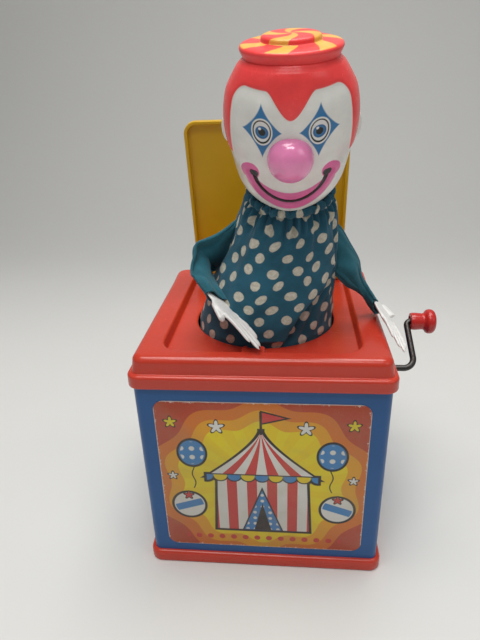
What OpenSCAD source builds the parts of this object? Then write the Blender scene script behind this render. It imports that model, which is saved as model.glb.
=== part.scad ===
// Jack in the box, clown up, lid open. Millimetres.
// Frame: origin at the middle of the underside, X to the crank side, Y to the back, Z up.

/* [Box] */
// width and depth of the red base and flange
base_w = 140; // [138:0.5:144]
// height of the base
base_h = 7.9; // [7:0.1:9]
// width and depth of the blue walls
shell_w = 135; // [134:0.5:136]
// wall thickness of the blue walls
wall = 2.2; // [1.8:0.1:2.6]
// underside of the top flange
flange_z = 124.6; // [122:0.2:128]
// top of the flange
flange_top = 133.5; // [132:0.1:135]
// top of the raised rim
rim_top = 142.8; // [142:0.1:144]
// width and depth of the raised rim
rim_w = 134.6; // [133:0.2:136]

/* [Well and lid] */
// height of the well floor
well_z = 136.8; // [136:0.1:137.2]
// half width of the well
well_hw = 52.6; // [52:0.1:53]
// radius of the round hole
hole_r = 41.8; // [41:0.1:42]
// distance of the hole centre from the middle
hole_y = -4; // [-5:0.5:-3]
// angle of the lid from closed
lid_open = 81; // [81:1:95]
// half width of the lid
lid_hw = 51.3; // [50:0.1:51.6]
// thickness of the lid over its edge
lid_t = 5; // [4:0.2:5.2]

/* [Clown] */
// sideways place of the head
head_x = 14.7; // [12:0.1:16]
// fore and aft place of the head
head_y = -31; // [-33:0.5:-29]
// height of the head centre
head_z = 249.5; // [248:0.5:251]
// forward lean of the head
head_lean = 22; // [20:0.5:24]
// widest radius of the head
head_r = 29; // [28:0.2:29.4]
// backward tilt of the hat on the head
hat_tilt = 9; // [6:0.5:11]

/* [Crank] */
// height of the crank shaft
crank_z = 100; // [98:0.5:102]
// radius of the crank wire
wire_r = 2; // [1.8:0.1:2]
// throw of the crank
crank_throw = 32.4; // [30:0.1:34]
// reach of the crank arm from the middle
crank_x = 92.8; // [91:0.1:95]
// turn of the crank arm from upright, towards the back
crank_turn = 49; // [0:1:360]

/* [Music] */
// gear module
gear_m = 0.75; // [0.75:0.05:0.75]
// teeth of the crank pinion
pinion_teeth = 16; // [16:1:16]
// teeth of the tune wheel
wheel_teeth = 48; // [48:1:48]

/* [Hidden] */
$fn = 64;
shell_top = 130.2;
inner_w = shell_w - 2 * wall;
hinge_y = 61;
hinge_z = 139.4;
lid_front = -48;
well_back = 64.3;
ledge_y = -48.6;
rim_front = -56;
post_xy = 54.5;
gear_d = gear_m * (pinion_teeth + wheel_teeth) / 2;
drum_y = -0.6 * gear_d;
drum_z = crank_z - 0.8 * gear_d;
plate_x = 43;
latch_y = -57.5;
latch_z = 118;
latch_x = -4;

RED = [0.78, 0.16, 0.12];
BLUE = [0.12, 0.27, 0.5];
YELLOW = [0.95, 0.75, 0.1];
STEEL = [0.55, 0.56, 0.58];
DARK = [0.2, 0.2, 0.21];
TEAL = [0.1, 0.45, 0.5];
WHITE = [0.93, 0.92, 0.88];
CORAL = [0.9, 0.38, 0.3];
PINK = [0.95, 0.5, 0.55];
IVORY = [0.85, 0.83, 0.75];

// square with round corners, centred
module rsq(w, d, r) {
  square([w - 2 * r, d], center = true);
  square([w, d - 2 * r], center = true);
  for (sx = [-1, 1], sy = [-1, 1]) translate([sx * (w / 2 - r), sy * (d / 2 - r)]) circle(r = r);
}

// round bar along X
module xbar(r, x0, x1) {
  translate([x0, 0, 0]) rotate([0, 90, 0]) cylinder(r = r, h = x1 - x0);
}

// ---- smooth curves by linear steps between stations [z, x, y, r]
suit_st = [[11, 0, 6, 32.6], [40, 0, 4, 34], [80, 0, 0, 36], [115, 0.5, -3, 37.6], [132, 1.2, -4, 38.2], [141, 2.6, -5, 38.2], [149, 5, -7, 36.5], [162, 7, -9, 34.5], [173, 8.6, -11, 32.4], [187, 10.5, -13.5, 29.4], [198, 12.2, -15.5, 26], [207.5, 13.5, -16.6, 21.6]];
function lerp(a, b, t) = a + (b - a) * t;
function st_at(z, i = 0) = (i >= len(suit_st) - 2 || z <= suit_st[i + 1][0]) ? let(t = (z - suit_st[i][0]) / (suit_st[i + 1][0] - suit_st[i][0])) [for (k = [0:3]) lerp(suit_st[i][k], suit_st[i + 1][k], t)] : st_at(z, i + 1);

// hollow sleeve of cloth through the stations
module cloth_tube(st, t, n) {
  m = len(st);
  outer = [for (s = st) for (a = [0:n - 1]) [s[1] + s[3] * cos(a * 360 / n), s[2] + s[3] * sin(a * 360 / n), s[0]]];
  inner = [for (s = st) for (a = [0:n - 1]) [s[1] + (s[3] - t) * cos(a * 360 / n), s[2] + (s[3] - t) * sin(a * 360 / n), s[0]]];
  o = m * n;
  f1 = [for (i = [0:m - 2]) for (a = [0:n - 1]) let(b = (a + 1) % n) each [[i * n + a, (i + 1) * n + a, (i + 1) * n + b], [i * n + a, (i + 1) * n + b, i * n + b]]];
  f2 = [for (i = [0:m - 2]) for (a = [0:n - 1]) let(b = (a + 1) % n) each [[o + i * n + a, o + (i + 1) * n + b, o + (i + 1) * n + a], [o + i * n + a, o + i * n + b, o + (i + 1) * n + b]]];
  f3 = [for (a = [0:n - 1]) let(b = (a + 1) % n) each [[a, b, o + b], [a, o + b, o + a]]];
  e = (m - 1) * n;
  f4 = [for (a = [0:n - 1]) let(b = (a + 1) % n) each [[e + a, o + e + b, e + b], [e + a, o + e + a, o + e + b]]];
  polyhedron(points = concat(outer, inner), faces = concat(f1, f2, f3, f4));
}

// coil: list of ring centres with their outward directions
module coil(c, d, up, w, n) {
  m = len(c);
  pts = [for (i = [0:m - 1]) for (a = [0:n - 1]) c[i] + w * (cos(a * 360 / n) * d[i] + sin(a * 360 / n) * up)];
  side = [for (i = [0:m - 2]) for (a = [0:n - 1]) let(b = (a + 1) % n) each [[i * n + a, i * n + b, (i + 1) * n + b], [i * n + a, (i + 1) * n + b, (i + 1) * n + a]]];
  capa = [[for (a = [n - 1:-1:0]) a]];
  capb = [[for (a = [0:n - 1]) (m - 1) * n + a]];
  polyhedron(points = pts, faces = concat(side, capa, capb));
}

// involute gear outline
function inv_pt(rb, u) = [rb * (cos(u) + u * PI / 180 * sin(u)), rb * (sin(u) - u * PI / 180 * cos(u))];
function turn(p, a) = [p[0] * cos(a) - p[1] * sin(a), p[0] * sin(a) + p[1] * cos(a)];
function gear_pts(z, m, slack) =
  let(rp = m * z / 2, rb = rp * cos(20), ra = rp + m, rf = rp - 1.25 * m, ua = sqrt(pow(ra / rb, 2) - 1) * 180 / PI, u0 = rf > rb ? sqrt(pow(rf / rb, 2) - 1) * 180 / PI : 0, half = 90 / z - slack / rp * 90 / PI, ip = tan(20) * 180 / PI - 20)
  [for (k = [0:z - 1]) each concat(rf > rb ? [] : [turn([rf, 0], k * 360 / z - half - ip)], [for (i = [0:3]) turn(inv_pt(rb, u0 + (ua - u0) * i / 3), k * 360 / z - half - ip)], [for (i = [3:-1:0]) let(p = inv_pt(rb, u0 + (ua - u0) * i / 3)) turn([p[0], -p[1]], k * 360 / z + half + ip)], rf > rb ? [] : [turn([rf, 0], k * 360 / z + half + ip)])];
module gear(z, m, h, slack, bore) {
  linear_extrude(height = h) difference() {
    polygon(gear_pts(z, m, slack));
    circle(r = bore);
  }
}

module at_head() { translate([head_x, head_y, head_z]) rotate([head_lean, 0, 0]) children(); }
module at_hat() { at_head() translate([0, 0, 29]) rotate([-hat_tilt, 0, 0]) children(); }
module at_lid() { translate([0, hinge_y, hinge_z]) rotate([-lid_open, 0, 0]) translate([0, -hinge_y, -hinge_z]) children(); }
module at_crank() { translate([0, 0, crank_z]) rotate([-crank_turn, 0, 0]) children(); }
module at_drum() { translate([0, drum_y, drum_z]) children(); }

// ---- box
module base_tray() color(RED) {
  difference() {
    union() {
      linear_extrude(height = base_h) rsq(base_w, base_w, 7);
      linear_extrude(height = base_h + 4.6) difference() { rsq(inner_w - 0.4, inner_w - 0.4, 3); rsq(inner_w - 4.4, inner_w - 4.4, 2); }
    }
    difference() {
      translate([0, 0, 2.6]) linear_extrude(height = 30) rsq(inner_w - 4.4, inner_w - 4.4, 2);
      for (sx = [-1, 1], sy = [-1, 1]) translate([sx * post_xy, sy * post_xy, 0]) cylinder(r = 5.2, h = base_h);
      cylinder(r = 26, h = base_h);
    }
    for (sx = [-1, 1], sy = [-1, 1]) translate([sx * post_xy, sy * post_xy, -1]) {
      cylinder(r = 1.6, h = 40);
      cylinder(r = 3.3, h = 3.6);
    }
    translate([0, 6, 2.6]) cylinder(r = 1.6, h = 20);
  }
}

module base_screws() color(STEEL) for (sx = [-1, 1], sy = [-1, 1]) translate([sx * post_xy, sy * post_xy, 0]) {
  difference() {
    translate([0, 0, 0.6]) cylinder(r = 3, h = 2);
    translate([-2, -0.4, 0]) cube([4, 0.8, 1.2]);
  }
  translate([0, 0, 2.6]) cylinder(r = 1.5, h = 19);
}

module box_shell() color(BLUE) difference() {
  union() {
    translate([0, 0, base_h]) linear_extrude(height = shell_top - base_h) difference() {
      rsq(shell_w, shell_w, 4);
      rsq(inner_w, inner_w, 2);
    }
    for (sx = [-1, 1], sy = [-1, 1]) translate([sx * post_xy, sy * post_xy, base_h]) intersection() {
      union() {
        cylinder(r = 4.2, h = 20);
        translate([sx > 0 ? 0 : -12, -1, 5]) cube([12, 2, 15]);
        translate([-1, sy > 0 ? 0 : -12, 5]) cube([2, 12, 15]);
      }
      translate([-sx * post_xy, -sy * post_xy, 0]) linear_extrude(height = 30) rsq(inner_w + 1, inner_w + 1, 2);
    }
    for (y = [-30, 30], z = [62, 118]) translate([0, y, z]) xbar(3, 59.1, 66);
  }
  for (sx = [-1, 1], sy = [-1, 1]) translate([sx * post_xy, sy * post_xy, base_h - 1]) cylinder(r = 1.55, h = 17);
  for (y = [-30, 30], z = [62, 118]) translate([0, y, z]) xbar(1.25, 58, 64.6);
  translate([0, 0, crank_z]) xbar(4.05, 60, 70);
}

module front_label() color(IVORY) translate([0, -shell_w / 2 - 0.03, 65.7]) rotate([90, 0, 0]) linear_extrude(height = 0.3) rsq(114.8, 103.8, 6);

module top_frame() color(RED) difference() {
  union() {
    translate([0, 0, flange_z]) linear_extrude(height = flange_top - flange_z - 1.2) rsq(base_w, base_w, 7);
    translate([0, 0, flange_top - 1.21]) linear_extrude(height = 1.21) rsq(base_w - 1, base_w - 1, 6.5);
    translate([0, 0, flange_top - 1]) linear_extrude(height = rim_top - flange_top - 2.6) rsq(rim_w, rim_w, 6);
    translate([0, 0, rim_top - 4]) linear_extrude(height = 2) rsq(rim_w - 1, rim_w - 1, 5.5);
    translate([0, 0, rim_top - 2.2]) linear_extrude(height = 1.2) rsq(rim_w - 2.6, rim_w - 2.6, 5);
    translate([0, 0, rim_top - 1.2]) linear_extrude(height = 1.2) rsq(rim_w - 5.4, rim_w - 5.4, 4.4);
  }
  // well for the lid
  translate([0, (ledge_y + well_back) / 2, well_z]) linear_extrude(height = 20) rsq(2 * well_hw, well_back - ledge_y, 8.6);
  translate([0, well_back - 12, well_z]) linear_extrude(height = 20) square([2 * well_hw, 24.0], center = true);
  // ledge in front of the lid
  translate([0, rim_front + 14, 140.8]) linear_extrude(height = 20) rsq(2 * well_hw, 28, 8);
  // hinge trough
  translate([-well_hw, hinge_y - 3.6, well_z - 1.2]) cube([2 * well_hw, well_back - hinge_y + 3.6, 5]);
  translate([0, hinge_y, hinge_z]) xbar(1.22, -well_hw - 2, well_hw + 2);
  // round hole
  translate([0, hole_y, 100]) cylinder(r = hole_r, h = 60, $fn = 128);
  // slot for the catch and the latch
  translate([latch_x - 4, -60.8, 120]) cube([8, 60.8 + ledge_y + 0.5, rim_top - 2.6 - 120]);
  translate([latch_x - 4, rim_front, 120]) cube([8, ledge_y + 0.5 - rim_front, 30]);
  // seat for the walls, and the hollow underside
  translate([0, 0, flange_z - 1]) linear_extrude(height = shell_top + 0.2 - flange_z + 1) rsq(shell_w + 0.3, shell_w + 0.3, 4.15);
  translate([0, 0, flange_z]) linear_extrude(height = well_z - 2.5 - flange_z) rsq(rim_w - 5.2, rim_w - 5.2, 3);
  difference() {
    translate([0, 0, flange_z]) linear_extrude(height = rim_top - 2.6 - flange_z) rsq(rim_w - 5.4, rim_w - 5.4, 2.4);
    translate([-well_hw - 2.4, -58.4, 100]) cube([2 * well_hw + 4.8, 130, 60]);
  }
}

module hinge_pin() color(STEEL) translate([0, hinge_y, hinge_z]) xbar(1.2, -well_hw - 1.8, well_hw + 1.8);

module spring_seat() color(STEEL) translate([0, 6, 0]) {
  translate([0, 0, base_h + 0.02]) cylinder(r = 30, h = 1.4);
  translate([0, 0, base_h + 1]) cylinder(r = 10, h = 2.2);
  translate([0, 0, base_h - 4]) cylinder(r = 1.55, h = 7.2);
  translate([0, 0, base_h + 3.1]) cylinder(r = 3, h = 1.5);
}

module hem_ring() color(IVORY) translate([0, 6, base_h + 1.45]) difference() {
  cylinder(r = 33.4, h = 3.2);
  translate([0, 0, -1]) cylinder(r = 29, h = 6);
  translate([0, 0, 3.2 - 1.9]) difference() { cylinder(r = 33, h = 6); cylinder(r = 31, h = 6); }
}

module pop_spring() color(STEEL) {
  turns = 11;
  per = 16;
  n = turns * per;
  zz = [for (i = [0:n]) lerp(base_h + 2.7, 199.5, i / n)];
  r = [for (i = [0:n]) lerp(26, 12.4, i / n)];
  coil([for (i = [0:n]) let(s = st_at(max(11, zz[i]))) [s[1] + r[i] * cos(i * 360 / per), s[2] + r[i] * sin(i * 360 / per), zz[i]]], [for (i = [0:n]) [cos(i * 360 / per), sin(i * 360 / per), 0]], [0, 0, 1], 1.0, 6);
}

module clown_suit() color(TEAL) cloth_tube(suit_st, 1.2, 32);

// ---- music work
module music_plate() color(IVORY) difference() {
  union() {
    translate([plate_x, -34, 58]) cube([2, 68, 64]);
    for (y = [-30, 30], z = [62, 118]) translate([0, y, z]) xbar(3, plate_x + 1, 59);
    translate([plate_x + 1, 14, drum_z - 8]) cube([17.4, 12, 7.2]);
  }
  for (y = [-30, 30], z = [62, 118]) translate([0, y, z]) xbar(1.3, 40, 60);
  translate([0, 0, crank_z]) xbar(wire_r + 0.05, 40, 50);
  at_drum() xbar(1.52, 40, 50);
  for (x = [49, 58]) translate([x, 20, drum_z - 7]) cylinder(r = 1.05, h = 20);
}

module music_screws() color(STEEL) for (y = [-30, 30], z = [62, 118]) translate([0, y, z]) {
  difference() {
    xbar(2.6, 41.3, 43);
    translate([41, -0.4, -1.8]) cube([0.9, 0.8, 3.6]);
  }
  xbar(1.2, 43, 64);
}

module crank_bush() color(IVORY) translate([0, 0, crank_z]) difference() {
  union() {
    xbar(4, 65.1, 67.6);
    xbar(6.2, 67.53, 69.4);
  }
  xbar(wire_r + 0.05, 60, 80);
}

module drum_axle() color(STEEL) at_drum() {
  xbar(1.5, 42.5, 62.7);
  xbar(2.6, 41.6, 42.98);
  xbar(1.9, 62.6, 63.4);
}

module tone_comb() color(STEEL) difference() {
  union() {
    translate([51.2, 13, drum_z - 0.75]) cube([9.6, 13, 1.2]);
    for (i = [0:7]) translate([51.2 + i * 1.24, drum_y + 13.75, drum_z - 0.35]) cube([0.92, 13 - drum_y - 13.75 + 0.5, 0.5]);
    translate([46.6, 14, drum_z - 0.75]) cube([5, 12, 1.2]);
  }
  for (x = [49, 58]) translate([x, 20, drum_z - 3]) cylinder(r = 1.05, h = 6);
}

module comb_screws() color(STEEL) for (x = [49, 58]) translate([x, 20, 0]) {
  translate([0, 0, drum_z - 6.8]) cylinder(r = 1.0, h = 7.4);
  difference() {
    translate([0, 0, drum_z + 0.48]) cylinder(r = 2, h = 1.5);
    translate([-1.5, -0.3, drum_z + 1.3]) cube([3, 0.6, 2]);
  }
}

// ---- latch
module latch_bracket() color(STEEL) difference() {
  union() {
    translate([-14, -inner_w / 2 + 0.1, 110]) cube([74, 1.8, 13]);
    for (x = [-12, 9.4, 56.5]) translate([x, -inner_w / 2 + 1, latch_z - 4]) cube([2.6, 11.4, 8]);
  }
  translate([0, latch_y, latch_z]) xbar(1.55, -20, 70);
}

module latch_spring() color(DARK) {
  n = 72;
  coil([for (i = [0:n]) [lerp(14, 26, i / n), latch_y + 2.6 * cos(i * 30), latch_z + 2.6 * sin(i * 30)]], [for (i = [0:n]) [0, cos(i * 30), sin(i * 30)]], [1, 0, 0], 0.4, 5);
}

module latch_shaft() color(STEEL) translate([0, latch_y, latch_z]) xbar(1.5, -13.2, 63.6);

module latch_lever() color(STEEL) difference() {
  union() {
    translate([0, latch_y, latch_z]) xbar(3, latch_x - 3, latch_x + 3);
    translate([latch_x - 3, -55.8, latch_z]) cube([6, 1.6, 139.7 - latch_z]);
    translate([latch_x - 3, -55.8, 138.5]) cube([6, 4.8, 1.2]);
  }
  translate([0, latch_y, latch_z]) xbar(1.51, -20, 20);
}

module trip_arm() color(STEEL) {
  ty = drum_y - 0.757 * 13.8;
  tz = drum_z + 0.654 * 13.8;
  ln = sqrt(pow(ty - latch_y, 2) + pow(tz - latch_z, 2));
  translate([61.3, 0, 0]) rotate([90, 0, 90]) linear_extrude(height = 2.1) difference() {
    union() {
      translate([latch_y, latch_z]) circle(r = 3);
      translate([ty, tz]) circle(r = 1.4);
      translate([latch_y, latch_z]) rotate(atan2(tz - latch_z, ty - latch_y)) translate([0, -1.4]) square([ln, 2.8]);
    }
    translate([latch_y, latch_z]) circle(r = 1.51);
  }
}

// ---- lid
module lid() color(YELLOW) at_lid() difference() {
  union() {
    difference() {
      union() {
        translate([0, (58.2 + lid_front) / 2, hinge_z - 2]) linear_extrude(height = lid_t - 1.2) lid_outline(0);
        translate([0, (58.2 + lid_front) / 2, hinge_z - 2 + lid_t - 1.21]) linear_extrude(height = 1.21) lid_outline(0.8);
      }
      translate([0, (58.2 + lid_front) / 2, hinge_z - 3]) linear_extrude(height = 4) lid_outline(2.2);
    }
    for (x = [-49, -8, 31]) {
      translate([0, hinge_y, hinge_z]) xbar(2.5, x, x + 18);
      translate([x, 57.4, hinge_z - 0.2]) cube([18, 3.6, 2.7]);
    }
  }
  translate([0, hinge_y, hinge_z]) xbar(1.25, -60, 60);
}
module lid_outline(inset) {
  w = 2 * lid_hw - 2 * inset;
  d = 58.2 - lid_front - 2 * inset;
  rsq(w, d, 8 - inset);
  translate([-w / 2 + 2, d / 2 - 12]) square([w - 4, 12]);
}

module lid_catch() color(STEEL) at_lid() {
  translate([latch_x - 3, lid_front - 4.4, hinge_z - 2.4]) cube([6, 4.35, 1.2]);
  translate([latch_x - 3, lid_front - 0.05 - 0.9, hinge_z - 2.4]) cube([6, 0.9, 4]);
}

// ---- clown
module clown_head() color(WHITE) difference() {
  at_head() union() {
    rotate_extrude() polygon([[0, -37], [15, -37], [16, -34], [19.6, -30.5], [23.6, -24], [27.3, -14], [head_r, -4], [head_r, 6], [28.4, 13], [26.4, 20], [24, 25.4], [21.8, 29.4], [21.4, 33], [0, 33]]);
    for (s = [-1, 1]) translate([s * 26.6, 2, -2]) sphere(r = 6, $fn = 24);
  }
  at_head() rotate_extrude() polygon([[0, -38], [12.6, -38], [12.6, -31], [16.4, -29], [20.6, -22.4], [24.8, -13], [head_r - 2.5, -4], [head_r - 2.5, 6], [25.8, 12.6], [23.8, 19], [20.8, 22.4], [0, 22.4]]);
  at_head() translate([0, -24.8, -2]) sphere(r = 9.4, $fn = 32);
  at_hat() translate([-40, -40, -0.1]) cube(80);
}
module clown_hat() color(CORAL) at_hat() rotate_extrude() polygon([[0, 0.1], [20.4, 0.1], [20.6, 1.4], [21.6, 4.2], [22.2, 5.6], [22, 6.8], [21, 7.4], [13, 8.2], [12.9, 9.4], [12.4, 10], [11.2, 10.4], [0, 10.5]]);
module clown_nose() color(PINK) at_head() translate([0, -25.6, -2]) sphere(r = 9, $fn = 32);
module head_plug() color(IVORY) at_head() difference() {
  union() {
    translate([0, 0, -40.4]) cylinder(r = 12.5, h = 10);
    translate([0, 0, -42.0]) cylinder(r = 15, h = 2.2);
  }
  translate([0, 0, -43]) cylinder(r = 9, h = 9);
}
module neck_tie() color(TEAL) at_head() translate([0, 0, -38.9]) rotate_extrude() translate([17.2, 0]) circle(r = 1.2, $fn = 24);

module limb(a, b) { hull() { translate([a[0], a[1], a[2]]) sphere(r = a[3], $fn = 20); translate([b[0], b[1], b[2]]) sphere(r = b[3], $fn = 20); } }
module left_sleeve() color(TEAL) {
  limb([-25.5, -17.5, 192, 6.5], [-35, -20, 182, 7.5]);
  limb([-35, -20, 182, 7.5], [-31, -34.6, 172, 5.5]);
}
module right_sleeve() color(TEAL) {
  limb([46.8, -14, 193, 7], [52.5, -12, 175, 7.5]);
  limb([52.5, -12, 175, 7.5], [58.4, -9.4, 159.4, 5.6]);
}

// flat hand: fingers along +Y, palm up
module hand_shape(t) translate([0, 0, -t / 2]) linear_extrude(height = t) {
  translate([0, 9]) circle(r = 8);
  translate([-5, 0]) square([10, 8]);
  translate([-8, 9]) square([16, 12]);
  for (f = [[-6, 36, 2.1], [-2, 40.5, 2.1], [2, 39, 2.1], [5.9, 34.5, 2.1]]) {
    translate([f[0] - f[2], 18]) square([2 * f[2], f[1] - 18 - f[2]]);
    translate([f[0], f[1] - f[2]]) circle(r = f[2], $fn = 24);
  }
  translate([-7, 10]) rotate(52) { translate([-2.3, 0]) square([4.6, 11]); translate([0, 11]) circle(r = 2.3, $fn = 24); }
}
// place a hand by its wrist, finger direction and palm direction
module put_hand(p, d, n) {
  y = d / norm(d);
  x = cross(y, n) / norm(cross(y, n));
  z = cross(x, y);
  multmatrix([[x[0], y[0], z[0], p[0]], [x[1], y[1], z[1], p[1]], [x[2], y[2], z[2], p[2]], [0, 0, 0, 1]]) children();
}
module left_hand() color(WHITE) put_hand([-27.4, -39.4, 167.8], [24.9, -19.3, -19.4], [0.673, 0.077, 0.736]) mirror([1, 0, 0]) hand_shape(2.2);
module right_hand() color(WHITE) put_hand([65.1, -13.2, 152], [8.5, -36, -10.9], [0.64, -0.08, 0.77]) hand_shape(2.2);

// ---- crank
module crank_rod() color(DARK) at_crank() {
  xbar(wire_r, plate_x + 0.2, crank_x - 5);
  translate([crank_x - 5, 0, 5]) rotate([90, 0, 0]) rotate([0, 0, -90]) rotate_extrude(angle = 90) translate([5, 0]) circle(r = wire_r, $fn = 32);
  translate([crank_x, 0, 5]) cylinder(r = wire_r, h = crank_throw - 8.2);
  translate([crank_x + 3.2, 0, crank_throw - 3.2]) rotate([90, 0, 0]) rotate([0, 0, 90]) rotate_extrude(angle = 90) translate([3.2, 0]) circle(r = wire_r, $fn = 32);
  translate([0, 0, crank_throw]) xbar(wire_r, crank_x + 3.2, crank_x + 15.8);
}
module crank_pinion() color(IVORY) at_crank() rotate([crank_turn, 0, 0]) translate([46.5, 0, 0]) rotate([90, 0, 90]) rotate(53.130102 + 180 + 180 / pinion_teeth) gear(pinion_teeth, gear_m, 4, 0.12, wire_r + 0.02);
module crank_collar() color(STEEL) translate([0, 0, crank_z]) difference() { xbar(4.6, 62.2, 64.8); xbar(wire_r + 0.02, 60, 70); }
module crank_knob() color(RED) at_crank() translate([crank_x + 3.35, 0, crank_throw]) rotate([0, 90, 0]) difference() {
  rotate_extrude() polygon([[0, 0], [4.3, 0], [4.6, 0.4], [4.6, 4.6], [5.2, 6.4], [6.8, 8.2], [7.6, 10.2], [7.5, 12.2], [6.4, 14.2], [4, 15.5], [0, 16]]);
  translate([0, 0, -1]) cylinder(r = wire_r + 0.05, h = 14);
}

// ---- tune wheel
module tune_wheel() color(IVORY) at_drum() difference() {
  union() {
    translate([46.5, 0, 0]) rotate([90, 0, 90]) rotate(53.130102) gear(wheel_teeth, gear_m, 4, 0.12, 1.55);
    difference() { xbar(12.5, 50.4, 61); xbar(10.4, 51.8, 59.6); }
    xbar(3.4, 50.4, 61);
    for (i = [0:7]) for (k = [0:2]) rotate([(i * 67 + k * 118 + (i % 3) * 17) % 360, 0, 0]) translate([51.66 + i * 1.24, 0, 12]) cylinder(r = 0.42, h = 1.2, $fn = 16);
  }
  xbar(1.55, 40, 70);
}
module trip_pin() color(STEEL) at_drum() translate([0, 0, -10]) xbar(1.5, 61.02, 63.4);

base_tray();
base_screws();
box_shell();
front_label();
top_frame();
hinge_pin();
spring_seat();
hem_ring();
pop_spring();
clown_suit();
music_plate();
music_screws();
crank_bush();
drum_axle();
tone_comb();
comb_screws();
latch_bracket();
latch_spring();
lid();
lid_catch();
clown_head();
clown_hat();
clown_nose();
head_plug();
neck_tie();
left_sleeve();
left_hand();
right_sleeve();
right_hand();
crank_rod();
crank_pinion();
crank_collar();
crank_knob();
tune_wheel();
trip_pin();
latch_lever();
latch_shaft();
trip_arm();
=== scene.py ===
import math

import bmesh
import bpy
import numpy as np
from mathutils import Matrix, Vector


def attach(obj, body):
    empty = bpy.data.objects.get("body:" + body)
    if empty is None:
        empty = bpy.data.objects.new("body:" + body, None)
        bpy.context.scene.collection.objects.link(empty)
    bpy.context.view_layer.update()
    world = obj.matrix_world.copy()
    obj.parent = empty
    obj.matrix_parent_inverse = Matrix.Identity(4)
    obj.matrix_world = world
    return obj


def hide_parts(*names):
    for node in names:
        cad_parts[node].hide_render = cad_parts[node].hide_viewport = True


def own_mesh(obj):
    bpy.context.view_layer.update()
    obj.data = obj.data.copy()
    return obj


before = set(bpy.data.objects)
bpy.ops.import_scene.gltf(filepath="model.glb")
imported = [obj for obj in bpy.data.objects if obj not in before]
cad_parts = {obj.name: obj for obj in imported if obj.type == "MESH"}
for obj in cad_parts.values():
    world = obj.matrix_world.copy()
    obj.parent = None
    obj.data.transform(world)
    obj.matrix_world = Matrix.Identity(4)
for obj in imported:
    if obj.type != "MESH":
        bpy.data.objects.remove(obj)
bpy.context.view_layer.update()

MM = 0.001
rng = np.random.default_rng(11)

# ------------------------------------------------------------------ numbers shared with the part (mm)
HEAD = Vector((14.7, -31.0, 249.5))
LEAN = math.radians(22)
HAT_TILT = math.radians(9)
HINGE = (61.0, 139.4)
LID_OPEN = math.radians(81)
CRANK_Z, CRANK_TURN = 100.0, math.radians(49)


# ------------------------------------------------------------------ node arithmetic
class Val:
    """A number that comes out of a shader node."""

    def __init__(self, mat, sock):
        self.mat, self.sock = mat, sock

    def __add__(self, o):
        return self.mat.math("ADD", self, o)

    def __radd__(self, o):
        return self.mat.math("ADD", o, self)

    def __sub__(self, o):
        return self.mat.math("SUBTRACT", self, o)

    def __rsub__(self, o):
        return self.mat.math("SUBTRACT", o, self)

    def __mul__(self, o):
        return self.mat.math("MULTIPLY", self, o)

    def __rmul__(self, o):
        return self.mat.math("MULTIPLY", o, self)

    def __truediv__(self, o):
        return self.mat.math("DIVIDE", self, o)

    def __rtruediv__(self, o):
        return self.mat.math("DIVIDE", o, self)

    def __neg__(self):
        return self.mat.math("MULTIPLY", self, -1.0)

    def __abs__(self):
        return self.mat.math("ABSOLUTE", self)


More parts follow.
